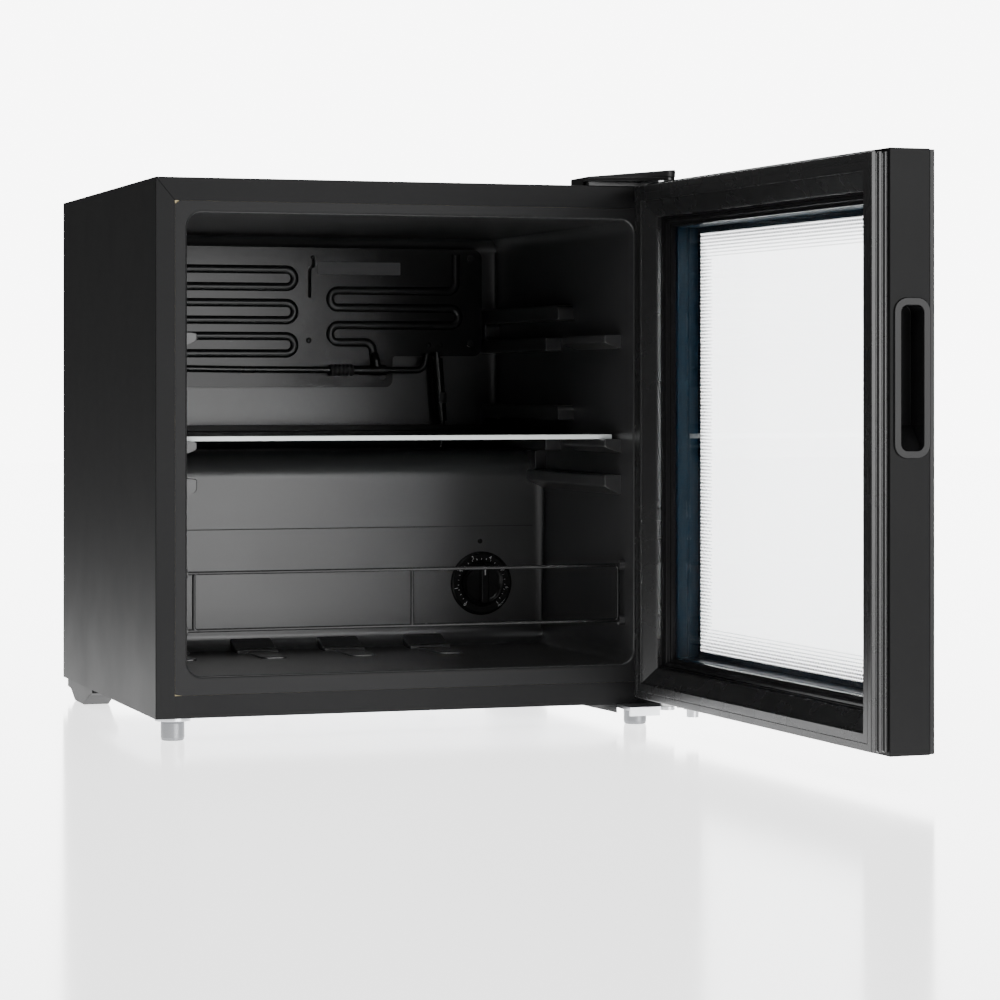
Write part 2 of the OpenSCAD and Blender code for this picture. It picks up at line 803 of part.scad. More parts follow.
module capillary_tube() color(copper) {
    for (i = [0 : 3]) translate([drier_x, back - 22, bay_top - 128 - i * 3])
        rotate_extrude() translate([18, 0]) circle(1);
    bar_z(drier_x, back - 22, bay_top - 128, bay_top - 110, 1);
    bar_x(drier_x, drier_x + 18, back - 22, bay_top - 128, 1);
}

wire_count = floor(cond_w / wire_pitch) - 1;

module condenser_wires() color(dark) for (i = [0 : wire_count - 1])
    bar_z((i - (wire_count - 1) / 2) * wire_pitch, cond_y + cond_r + wire_r,
        cond_low - 8, cond_top + 8, wire_r);

bracket_at = [for (x = [cond_left + 30, cond_right - 30], i = [1, cond_rows - 2])
    [x, cond_top - i * cond_pitch]];

module condenser_brackets() color(black) for (p = bracket_at) difference() {
    translate([p[0] - 5, back, p[1] - 6]) cube([10, cond_out + cond_r * 0.5, 12]);
    translate([p[0] - 6, cond_y - cond_r, p[1] - cond_r]) cube([12, 4 * cond_r, 2 * cond_r]);
}

rear_at = concat(
    [for (x = [-1, 0, 1]) [x * (body_w / 2 - 14), top - 12]],
    [for (x = [-1, 0, 1]) [x * (body_w / 2 - 14), bay_top + 14]],
    [for (x = [-1, 1]) [x * (body_w / 2 - 14), (top + bay_top) / 2]]);

module rear_screw_shanks(grow) {
    for (p = rear_at) bar_y(p[0], back - 11, back + eps, p[1], 1.8 + grow);
}

module rear_screws() color(zinc) for (p = rear_at)
    translate([p[0], back, p[1]]) rotate([-90, 0, 0]) screw(4, 2, 1.8, 10);

// ---------- Hinges ----------

door_z0 = base + door_lift;
door_h = body_h - door_short;
door_in = front - door_gap;
door_out = door_in - frame_d - pane_t;
pin_x = right - pin_side;
pin_y = door_in - pin_depth;
arm_z = max(top, door_z0 + door_h) + 2.5;
arm_t = 2.5;
hinge_l = 68;
hinge_back = 42;
hinge_screw_at = [[right - 56, front + 26], [right - 36, front + 26], [right - 14, front + 30]];

module top_hinge_shanks(grow) {
    for (p = hinge_screw_at) bar_z(p[0], p[1], top - 10, top + arm_t + eps, 2 + grow);
}

module arm_outline(r) {
    translate([pin_x, pin_y]) circle(r);
    polygon([[right - hinge_l, front], [right - hinge_l, front - 1],
        [pin_x - r * 0.35, pin_y - r * 0.93], [pin_x + r * 0.6, pin_y - r * 0.6],
        [pin_x + r, pin_y], [pin_x + r, front]]);
}

module top_hinge_bracket() color(black) difference() {
    union() {
        translate([right - hinge_l + 2, front + 2, top]) cube([hinge_l - 4, hinge_back - 4, arm_t]);
        translate([right - hinge_l + 2, front + 2, top]) cube([hinge_l - 4, 10, arm_z + arm_t - top]);
        translate([0, 0, arm_z]) linear_extrude(arm_t) arm_outline(pin_side - 0.6);
        translate([right - hinge_l, front, arm_z]) cube([hinge_l - 1, 10, arm_t]);
    }
    top_hinge_shanks(fit_clear);
    bar_z(pin_x, pin_y, arm_z - eps, arm_z + 10, pin_r);
}

module top_hinge_screws() color(zinc) for (p = hinge_screw_at)
    translate([p[0], p[1], top + arm_t]) screw(3.8, 1.6, 2, arm_t + 9);

cover_low = 7.5;
cover_high = 12.5;

module top_hinge_cover() color(black) {
    z0 = arm_z + arm_t;
    slope = atan((cover_high - cover_low) / hinge_l);
    difference() {
        union() {
            translate([0, 0, z0]) linear_extrude(12) arm_outline(pin_side);
            translate([right - hinge_l, front, z0]) cube([hinge_l, hinge_back, 12]);
            translate([right - hinge_l, front + 12.4, top])
                cube([hinge_l, hinge_back - 12.4, z0 - top]);
        }
        translate([right - hinge_l + 1.6, front + 12, top - eps])
            cube([hinge_l - 3.2, hinge_back - 13.6, z0 - top + eps]);
        translate([right - hinge_l - eps, front - 60, top + cover_low])
            rotate([0, -slope, 0]) cube([hinge_l + 30, 140, 30]);
        bar_z(pin_x, pin_y, z0 - eps, z0 + 2, pin_r + fit_clear);
    }
}

module top_hinge_pin() color("#e8e8ea") {
    bar_z(pin_x, pin_y, door_z0 + door_h - pin_in, arm_z + arm_t, pin_r);
}

low_t = 3;
low_l = 41;
low_back = 44;
lip_h = 7.5;
lip_l = 27;
lip_t = 2.5;
gusset_l = 31;
low_screw_at = [[right - 32, front + 34], [right - 12, front + 37]];

module bottom_hinge_shanks(grow) {
    for (p = low_screw_at) bar_z(p[0], p[1], base - low_t - eps, base + 10, 2 + grow);
}

module bottom_hinge_bracket() color(zinc) difference() {
    union() {
        translate([0, 0, base - low_t]) linear_extrude(low_t) {
            translate([pin_x, pin_y]) circle(pin_side - 0.5);
            translate([right - low_l, pin_y - 2]) square([low_l - pin_side, lip_t]);
            translate([right - low_l, pin_y]) square([low_l - 1, front + low_back - pin_y]);
        }
        translate([right - low_l, pin_y - 2, base - lip_h]) cube([lip_l, lip_t, lip_h]);
    }
    foot_bores(run_clear);
    bottom_hinge_shanks(fit_clear);
    bar_z(pin_x, pin_y, base - low_t - eps, base + eps, pin_r);
}

module bottom_hinge_gusset() color(dark)
    translate([right - low_l, front + 3, base]) rotate([90, 0, 0]) linear_extrude(3)
        polygon([[0, 0], [0, -lip_h], [-gusset_l, 0]]);

module bottom_hinge_screws() color(zinc) for (p = low_screw_at)
    translate([p[0], p[1], base - low_t]) mirror([0, 0, 1]) screw(3.8, 1.8, 2, low_t + 9);

module bottom_hinge_pin() color(zinc) {
    bar_z(pin_x, pin_y, base - low_t, door_z0 + pin_in, pin_r);
}

module hinge_washer() color("#d8d8da") difference() {
    bar_z(pin_x, pin_y, base, door_z0 - seat_clear, pin_side - 1.5);
    bar_z(pin_x, pin_y, base - eps, door_z0, pin_r);
}

// ---------- Door, drawn closed and hung open ----------

module hung() {
    translate([pin_x, pin_y, 0]) rotate([0, 0, door_open]) translate([-pin_x, -pin_y, 0])
        children();
}

// A rectangular ring in the plane of the door, between two distances from its edge
module door_ring(u0, u1, y0, depth) {
    difference() {
        translate([left + u0, y0, door_z0 + u0])
            cube([body_w - 2 * u0, depth, door_h - 2 * u0]);
        translate([left + u1, y0 - eps, door_z0 + u1])
            cube([body_w - 2 * u1, depth + 2 * eps, door_h - 2 * u1]);
    }
}

groove_u = gasket_set_back + 11;
groove_w = 4;
groove_d = 6;

module gasket_groove(grow) {
    door_ring(groove_u - grow, groove_u + groove_w + grow, door_in - groove_d - grow,
        groove_d + grow + eps);
}

module pin_bores(r) {
    for (z = [door_z0 - eps, door_z0 + door_h - pin_in - 2])
        bar_z(pin_x, pin_y, z, z + pin_in + 2 + eps, r);
}

module stile(x0) translate([x0, door_in - frame_d, door_z0]) cube([frame_w, frame_d, door_h]);

module door_hinge_stile() color(satin) hung() difference() {
    stile(right - frame_w);
    gasket_groove(fit_clear);
    pin_bores(bush_r + run_clear / 3);
}

module door_handle_stile() color(satin) hung() difference() {
    stile(left);
    gasket_groove(fit_clear);
    grip_block(grip_t + fit_clear, grip_d + grip_t + fit_clear);
}

module rail(z0) translate([left + frame_w, door_in - frame_d, z0])
    cube([body_w - 2 * frame_w, frame_d, frame_w]);

module door_top_rail() color(satin) hung() difference() {
    rail(door_z0 + door_h - frame_w);
    gasket_groove(fit_clear);
}

arm_w = 13;
stop_t = 2.2;
arm_screw_x = right - frame_w - 6;
arm_screw_at = [arm_screw_x, arm_screw_x - 14];
arm_l = pin_x - arm_screw_x + 28;

module door_bottom_rail() color(satin) hung() difference() {
    rail(door_z0);
    gasket_groove(fit_clear);
    for (x = arm_screw_at) bar_z(x, pin_y, door_z0 - eps, door_z0 + 10, 2 + fit_clear);
}

module hinge_bushes() color("#e4e4e6") hung() difference() {
    pin_bores(bush_r);
    for (z = [door_z0 - 2, door_z0 + door_h - pin_in - 1])
        bar_z(pin_x, pin_y, z, z + pin_in + 3 + eps, pin_r + run_clear);
    translate([pin_x - 10, pin_y - 10, door_z0 - 10]) cube([20, 20, 10]);
    translate([pin_x - 10, pin_y - 10, door_z0 + door_h]) cube([20, 20, 10]);
}

// The grip is a rounded pocket that opens on the door's free edge
module grip_block(grow, depth) {
    grip_z = door_z0 + door_h / 2 + grip_up;
    grip_y = door_in - frame_d / 2 - 1.5;
    translate([left, grip_y - grip_w / 2 - grow, grip_z - grip_l / 2 - grow])
        rotate([90, 0, 90]) linear_extrude(depth)
        rounded_rect(grip_w + 2 * grow, grip_l + 2 * grow, 5 + grow);
}

module handle_insert() color(black) hung() difference() {
    union() {
        grip_block(grip_t, grip_d + grip_t);
        translate([-1.5, 0, 0]) grip_block(grip_rim, 1.5);
    }
    translate([-2, 0, 0]) grip_block(0, grip_d + 2);
}

module glazing_bead() color(dark) hung() {
    door_ring(frame_w, frame_w + bead_w / 2, door_in - pane_depth, pane_depth - 2);
    door_ring(frame_w + bead_w / 2, frame_w + bead_w, door_in - pane_depth, pane_depth - 5.5);
}

pane_in = door_in - pane_depth;
spacer_y0 = door_in - frame_d;
pane_edge = frame_w + 0.5;

module inner_glass() color(clear_glass) hung()
    translate([left + pane_edge, pane_in - pane_t, door_z0 + pane_edge])
        cube([body_w - 2 * pane_edge, pane_t, door_h - 2 * pane_edge]);

module glass_spacer() color(steel) hung()
    door_ring(pane_edge + 1.5, frame_w + bead_w, spacer_y0, pane_in - pane_t - spacer_y0);

module outer_glass() color(clear_glass) hung()
    translate([left + 0.5, door_out, door_z0 + 0.5])
        cube([body_w - 1, pane_t, door_h - 1]);

gasket_h = door_gap - gasket_clear;

// Section of the gasket: u from the door's edge, h out of the frame's inner face
module gasket_section() {
    polygon([[0, 0], [gasket_w, 0], [gasket_w, 3.2], [gasket_w - 12.5, gasket_h - 1.6],
        [gasket_w - 13.5, gasket_h], [1.2, gasket_h], [0, gasket_h - 1.2],
        [0, gasket_h * 0.74], [1.6, gasket_h * 0.66], [0, gasket_h * 0.58],
        [0, gasket_h * 0.38], [1.6, gasket_h * 0.30], [0, gasket_h * 0.22]]);
}

// One side of the gasket, lying along X at the door's lower edge, mitred at both ends
module gasket_side(len) intersection() {
    rotate([90, 0, 90]) linear_extrude(len) mirror([1, 0, 0]) rotate([0, 0, 90]) gasket_section();
    rotate([90, 0, 0]) translate([0, 0, -gasket_h - eps]) linear_extrude(gasket_h + 2 * eps)
        polygon([[0, 0], [len, 0], [len - gasket_w - 1, gasket_w + 1], [gasket_w + 1, gasket_w + 1]]);
}

module door_gasket() color(dark) hung() {
    w = body_w - 2 * gasket_set_back;
    h = door_h - 2 * gasket_set_back;
    translate([left + gasket_set_back, door_in, door_z0 + gasket_set_back]) {
        gasket_side(w);
        translate([w, 0, h]) rotate([0, 180, 0]) gasket_side(w);
        translate([0, 0, h]) rotate([0, 90, 0]) gasket_side(h);
        translate([w, 0, 0]) rotate([0, -90, 0]) gasket_side(h);
    }
    door_ring(groove_u, groove_u + groove_w, door_in - groove_d, groove_d);
}

module door_stop_arm() color(zinc) hung() difference() {
    union() {
        translate([pin_x - arm_l, pin_y - arm_w / 2, door_z0 - stop_t]) cube([arm_l, arm_w, stop_t]);
        bar_z(pin_x, pin_y, door_z0 - stop_t, door_z0, arm_w / 2);
        bar_z(pin_x - arm_l + 5, pin_y, door_z0 - 9, door_z0 - stop_t, 5);
        for (x = arm_screw_at) bar_z(x, pin_y, door_z0 - stop_t - 1.4, door_z0 + 9, 2);
        for (x = arm_screw_at) bar_z(x, pin_y, door_z0 - stop_t - 1.4, door_z0 - stop_t, 3.8);
    }
    bar_z(pin_x, pin_y, door_z0 - 8, door_z0 + eps, pin_side - 1.5 + seat_clear);
}

outer_shell();
bottom_rail();
rear_panel();
base_pan();
insulation();
inner_liner();
shelf_guides();
evaporator_plate();
evaporator_posts();
evaporator_tail();
tail_sleeve();
suction_line();
suction_clip();
thermostat_body();
thermostat_ring();
thermostat_knob();
thermostat_shaft();
shelf_glass();
shelf_rear_bar();
bottle_guard();
guard_cups();
front_left_foot();
front_right_foot();
foot_plate();
rear_skids();
compressor_plate();
compressor_shell();
compressor_feet();
compressor_grommets();
compressor_bolts();
relay_cover();
cord_bush();
discharge_line();
filter_drier();
capillary_tube();
condenser_tube();
condenser_wires();
condenser_brackets();
rear_screws();
top_hinge_bracket();
top_hinge_screws();
top_hinge_cover();
top_hinge_pin();
bottom_hinge_bracket();
bottom_hinge_gusset();
bottom_hinge_screws();
bottom_hinge_pin();
hinge_washer();
door_hinge_stile();
door_handle_stile();
door_top_rail();
door_bottom_rail();
hinge_bushes();
handle_insert();
glazing_bead();
inner_glass();
glass_spacer();
outer_glass();
door_gasket();
door_stop_arm();
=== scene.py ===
"""Table-top cooler with a glazed door: the looks of every piece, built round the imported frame."""

import json
import logging
import math
from dataclasses import dataclass, field
from enum import Enum
from typing import Callable, Sequence

import bmesh
import bpy
from mathutils import Matrix, Vector


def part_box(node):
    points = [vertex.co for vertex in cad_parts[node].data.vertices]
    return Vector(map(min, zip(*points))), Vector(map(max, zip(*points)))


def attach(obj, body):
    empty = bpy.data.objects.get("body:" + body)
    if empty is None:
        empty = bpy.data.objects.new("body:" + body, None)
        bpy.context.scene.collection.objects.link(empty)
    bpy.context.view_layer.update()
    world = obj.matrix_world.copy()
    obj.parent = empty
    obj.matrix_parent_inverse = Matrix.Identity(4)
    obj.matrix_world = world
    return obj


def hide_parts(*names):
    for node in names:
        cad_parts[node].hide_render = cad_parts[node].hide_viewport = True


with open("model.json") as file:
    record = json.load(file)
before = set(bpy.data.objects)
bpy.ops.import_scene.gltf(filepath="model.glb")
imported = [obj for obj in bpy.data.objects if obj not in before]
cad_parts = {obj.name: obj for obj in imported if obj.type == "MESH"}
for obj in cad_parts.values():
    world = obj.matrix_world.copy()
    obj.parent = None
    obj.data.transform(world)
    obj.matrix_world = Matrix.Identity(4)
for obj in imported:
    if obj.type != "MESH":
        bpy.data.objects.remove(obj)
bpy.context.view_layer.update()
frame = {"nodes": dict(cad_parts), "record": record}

MM = 0.001
LOG = logging.getLogger("cooler")

Point2 = tuple[float, float]
Point3 = tuple[float, float, float]
Colour = tuple[float, float, float]

SLOT_OF = {row["node"]: row["material_slot"] for row in frame["record"]["subparts"]}
BODY_OF = {
    node: body
    for body, nodes in frame["record"]["behaviour"]["bodies"].items()
    for node in nodes
}
DOOR_OPEN = math.radians(92)
ORIGIN = Vector((0.0, 0.0, 0.0))
# Turns what faces +Z so that it faces -Y.
FACING_FRONT = Matrix.Rotation(math.radians(90), 4, "X")


class Plane(Enum):
    """The plane in which an outline is drawn before it is drawn out into a solid."""

    XZ = (0, 2, 1)
    YZ = (1, 2, 0)
    XY = (0, 1, 2)

    def point(self, a: float, b: float, depth: float) -> Vector:
        """A point of the outline at a depth, in space.

        Args:
            a: Its first coordinate in the plane.
            b: Its second one.
            depth: Its place along the third axis.

        Returns:
            The point in space.
        """
        out = Vector((0.0, 0.0, 0.0))
        out[self.value[0]] = a
        out[self.value[1]] = b
        out[self.value[2]] = depth
        return out


class Pattern(Enum):
    """What the fine relief of a finish looks like."""

    PEEL = "the soft waves of baked paint"
    GRAIN = "the fine pits of a moulding"
    BRUSHED = "long scratches along X"
    SPANGLE = "the flakes of hot-dip zinc"
    FOAM = "small closed cells"


# ---------- Node trees ----------


class Wire:
    """One output of a node, on which arithmetic adds Math nodes."""

    def __init__(self, graph: "Graph", socket: bpy.types.NodeSocket) -> None:
        """Keeps the tree and the socket."""
        self.graph = graph
        self.socket = socket

    def _math(self, operation: str, *terms: "Wire | float") -> "Wire":
        """A Math node on these terms.

        Args:
            operation: Blender's name of the operation.
            terms: Its inputs in order.

        Returns:
            Its result.
        """
        return self.graph.add(
            "ShaderNodeMath", {"operation": operation}, dict(enumerate(terms))
        )

    def __add__(self, other: "Wire | float") -> "Wire":
        """The sum."""
        return self._math("ADD", self, other)

    __radd__ = __add__

    def __sub__(self, other: "Wire | float") -> "Wire":
        """The difference."""
        return self._math("SUBTRACT", self, other)

    def __rsub__(self, other: float) -> "Wire":
        """The difference, from a number."""
        return self._math("SUBTRACT", other, self)

    def __mul__(self, other: "Wire | float") -> "Wire":
        """The product."""
        return self._math("MULTIPLY", self, other)

    def __truediv__(self, other: "Wire | float") -> "Wire":
        """The quotient."""
        return self._math("DIVIDE", self, other)

    def __abs__(self) -> "Wire":
        """The size without its sign."""
        return self._math("ABSOLUTE", self)

    def low(self, other: "Wire | float") -> "Wire":
        """The lower of two values."""
        return self._math("MINIMUM", self, other)

    def high(self, other: "Wire | float") -> "Wire":
        """The higher of two values."""
        return self._math("MAXIMUM", self, other)

    def under(self, other: "Wire | float") -> "Wire":
        """1 where this is the smaller."""
        return self._math("LESS_THAN", self, other)

    def over(self, other: "Wire | float") -> "Wire":
        """1 where this is the larger."""
        return self._math("GREATER_THAN", self, other)

    def whole(self) -> "Wire":
        """The whole number below."""
        return self._math("FLOOR", self)

    def rest(self, other: float) -> "Wire":
        """What is left after a division."""
        return self._math("MODULO", self, other)


class Graph:
    """A node tree, with one way in for every kind of node."""

    def __init__(self, tree: bpy.types.NodeTree) -> None:
        """Keeps the tree."""
        self.tree = tree

    @staticmethod
    def pick(sockets: bpy.types.bpy_prop_collection, key: "str | int") -> bpy.types.NodeSocket:
        """Finds a socket.

        Args:
            sockets: The inputs or outputs of a node.
            key: Its place, identifier or name.

        Returns:
            The socket.
        """
        if isinstance(key, int):
            return sockets[key]
        for socket in sockets:
            if socket.identifier == key:
                return socket
        return sockets[key]

    def add(
        self,
        kind: str,
        settings: "dict[str, object] | None" = None,
        values: "dict[str | int, object] | None" = None,
        out: "str | int" = 0,
    ) -> Wire:
        """Adds a node.

        Args:
            kind: Its type.
            settings: What is set before its sockets, such as an operation or a ramp's stops.
            values: A value or a wire for each socket.
            out: The output that is wanted.

        Returns:
            That output.
        """
        node = self.tree.nodes.new(kind)
        for key, value in (settings or {}).items():
            if key == "stops":
                ramp = node.color_ramp
                while len(ramp.elements) < len(value):
                    ramp.elements.new(1.0)
                for element, (at, shade) in zip(ramp.elements, value):
                    element.position = at
                    element.color = (shade, shade, shade, 1.0)
            else:
                setattr(node, key, value)
        for key, value in (values or {}).items():
            socket = self.pick(node.inputs, key)
            if isinstance(value, Wire):
                self.tree.links.new(value.socket, socket)
            else:
                socket.default_value = value
        return Wire(self, self.pick(node.outputs, out))

    def other(self, wire: Wire, out: "str | int") -> Wire:
        """Another output of the node that a wire comes from."""
        return Wire(self, self.pick(wire.socket.node.outputs, out))

    def split(self, vector: Wire) -> tuple[Wire, Wire, Wire]:
        """The three parts of a vector."""
        x = self.add("ShaderNodeSeparateXYZ", values={0: vector})
        return x, self.other(x, 1), self.other(x, 2)

    def vector(self, x: "Wire | float", y: "Wire | float", z: "Wire | float") -> Wire:
        """A vector of three parts."""
        return self.add("ShaderNodeCombineXYZ", values={0: x, 1: y, 2: z})

    def mix(self, mask: "Wire | float", a: object, b: object) -> Wire:
        """Mixes two colours.

        Args:
            mask: 0 for the first and 1 for the second.
            a: The first colour.
            b: The second colour.

        Returns:
            The mixed colour.
        """
        return self.add(
            "ShaderNodeMix",
            {"data_type": "RGBA"},
            {"Factor_Float": mask, "A_Color": a, "B_Color": b},
            "Result_Color",
        )


def blank(name: str) -> tuple[bpy.types.Material, Graph, Wire]:
    """Starts a material.

    Args:
        name: Its name.

    Returns:
        The material, its empty tree and the object coordinates in it.
    """
    material = bpy.data.materials.new(name)
    material.use_nodes = True
    material.node_tree.nodes.clear()
    graph = Graph(material.node_tree)
    return material, graph, graph.add("ShaderNodeTexCoord", out="Object")


def close(graph: Graph, surface: Wire) -> None:
    """Joins a surface to its material's output."""
    out = graph.tree.nodes.new("ShaderNodeOutputMaterial")
    graph.tree.links.new(surface.socket, out.inputs["Surface"])


def rgba(colour: Colour, gain: float = 1.0) -> tuple[float, float, float, float]:
    """A colour with full alpha, made lighter or darker by a factor."""
    return tuple(min(1.0, part * gain) for part in colour) + (1.0,)


# ---------- Finishes ----------

# How far a colour follows the slow clouds and the fine relief.
CLOUD_SHARE = 0.7
RELIEF_SHARE = 0.3
# What a drawn seam, and the painted shade line of a crease, does to the colour, the gloss and the
# height.
SEAM_AND_CREASE_SHADE_TONE = 0.12
SEAM_ROUGHNESS = 0.3
SEAM_DEPTH = 6.0
COAT_ROUGHNESS = 0.08
# How much brushing stretches the relief along X.
BRUSH_STRETCH = 0.02


@dataclass(frozen=True)
class Finish:
    """An opaque surface: a colour, a gloss, slow clouds in both and a fine relief."""

    name: str
    colour: Colour
    rough: float
    metal: float = 0.0
    coat: float = 0.0
    pattern: Pattern = Pattern.GRAIN
    grain: float = 900.0
    depth: float = 0.05
    cloud: float = 14.0
    cloud_gain: float = 0.25
    rough_swing: float = 0.06
    specular: float = 0.5

    def relief(self, graph: Graph, where: Wire) -> Wire:
        """The height of the fine relief.

        Args:
            graph: The material's tree.
            where: Object coordinates.

        Returns:
            The height, about 0 to 1.
        """
        if self.pattern is Pattern.SPANGLE:
            return graph.add(
                "ShaderNodeTexVoronoi", {"feature": "F1"}, {"Vector": where, "Scale": self.grain}
            )
        if self.pattern is Pattern.FOAM:
            return graph.add(
                "ShaderNodeTexVoronoi",
                {"feature": "SMOOTH_F1"},
                {"Vector": where, "Scale": self.grain},
            )
        if self.pattern is Pattern.BRUSHED:
            where = graph.add(
                "ShaderNodeMapping", values={"Vector": where, "Scale": (BRUSH_STRETCH, 1.0, 1.0)}
            )
        detail = 2.0 if self.pattern is Pattern.PEEL else 4.0
        return graph.add(
            "ShaderNodeTexNoise", values={"Vector": where, "Scale": self.grain, "Detail": detail}
        )

    def lines(self, graph: Graph, where: Wire) -> "Wire | None":
        """A mask of drawn seams and of painted crease shade, where the finish has any."""
        return None

    def make(self) -> bpy.types.Material:
        """Builds the material.

        Returns:
            The material, with its tree.
        """
        material, graph, where = blank(self.name)
        clouds = graph.add(
            "ShaderNodeTexNoise", values={"Vector": where, "Scale": self.cloud, "Detail": 5.0}
        )
        relief = self.relief(graph, where)
        dark = rgba(self.colour, 1.0 - self.cloud_gain)
        pale = rgba(self.colour, 1.0 + self.cloud_gain)
        tone = graph.mix(clouds * CLOUD_SHARE + relief * RELIEF_SHARE, dark, pale)
        gloss = self.rough + (clouds - 0.5) * (2.0 * self.rough_swing)
        height = relief
        seams = self.lines(graph, where)
        if seams is not None:
            # Mitre seams are darkened as real dark joints; the liner's crease line is darkened as
            # painted shade.
            tone = graph.mix(seams, tone, rgba(self.colour, SEAM_AND_CREASE_SHADE_TONE))
            gloss = (gloss + seams * SEAM_ROUGHNESS).low(1.0)
            height = relief - seams * SEAM_DEPTH
        bump = graph.add(
            "ShaderNodeBump", values={"Height": height, "Strength": 1.0, "Distance": self.depth * MM}
        )
        surface = graph.add(
            "ShaderNodeBsdfPrincipled",
            values={
                "Base Color": tone,
                "Roughness": gloss,
                "Metallic": self.metal,
                "Coat Weight": self.coat,
                "Coat Roughness": COAT_ROUGHNESS,
                "Specular IOR Level": self.specular,
                "Normal": bump,
            },
        )
        close(graph, surface)
        return material


@dataclass(frozen=True)
class FoldedSteel(Finish):
    """Baked paint on folded sheet, with a mitre at each upper corner of the front flange."""

    half_w: float = 220.0
    top: float = 459.0
    flange: float = 19.0
    side_flange: float = 16.0
    front: float = -200.0
    face_depth: float = 0.4
    seam: float = 0.28

    def lines(self, graph: Graph, where: Wire) -> Wire:
        """The mask of the two mitre seams.

        Args:
            graph: The material's tree.
            where: Object coordinates.

        Returns:
            1 on a seam and 0 elsewhere.
        """
        x, y, z = graph.split(where)
        across = self.half_w * MM - abs(x)
        down = self.top * MM - z
        line = abs(across - down * (self.side_flange / self.flange)).under(self.seam * MM)
        inside = down.under(self.flange * MM)
        face = y.under((self.front + self.face_depth) * MM)
        return line * inside * face


@dataclass(frozen=True)
class RolledLiner(Finish):
    """Moulded plastic with a dark line painted across the hump as the shade of the crease where its face
    leans back.
    """

    level: float = 161.0
    behind: float = 34.0
    half_w: float = 184.0
    line: float = 0.35

    def lines(self, graph: Graph, where: Wire) -> Wire:
        """The mask of the painted crease shade.

        Args:
            graph: The material's tree.
            where: Object coordinates.

        Returns:
            1 on the line and 0 elsewhere.
        """
        x, y, z = graph.split(where)
        near = abs(z - self.level * MM).under(self.line * MM)
        return near * y.over(self.behind * MM) * abs(x).under(self.half_w * MM)


@dataclass(frozen=True)
class ClearPane:
    """Clear glass with a tint that shows in its thickness."""

    name: str
    colour: Colour
    rough: float = 0.0
    haze: float = 0.004
    wiping: float = 9.0
    wiped_tone: float = 0.985
    index: float = 1.45

    def make(self) -> bpy.types.Material:
        """Builds the material.

        Returns:
            The material, with faint marks of wiping in its gloss.
        """
        material, graph, where = blank(self.name)
        wiped = graph.add(
            "ShaderNodeTexNoise", values={"Vector": where, "Scale": self.wiping, "Detail": 3.0}
        )
        tone = graph.mix(wiped, rgba(self.colour), rgba(self.colour, self.wiped_tone))
        surface = graph.add(
            "ShaderNodeBsdfPrincipled",
            values={
                "Base Color": tone,
                "Roughness": self.rough + wiped * self.haze,
                "Transmission Weight": 1.0,
                "IOR": self.index,
            },
        )
        close(graph, surface)
        return material


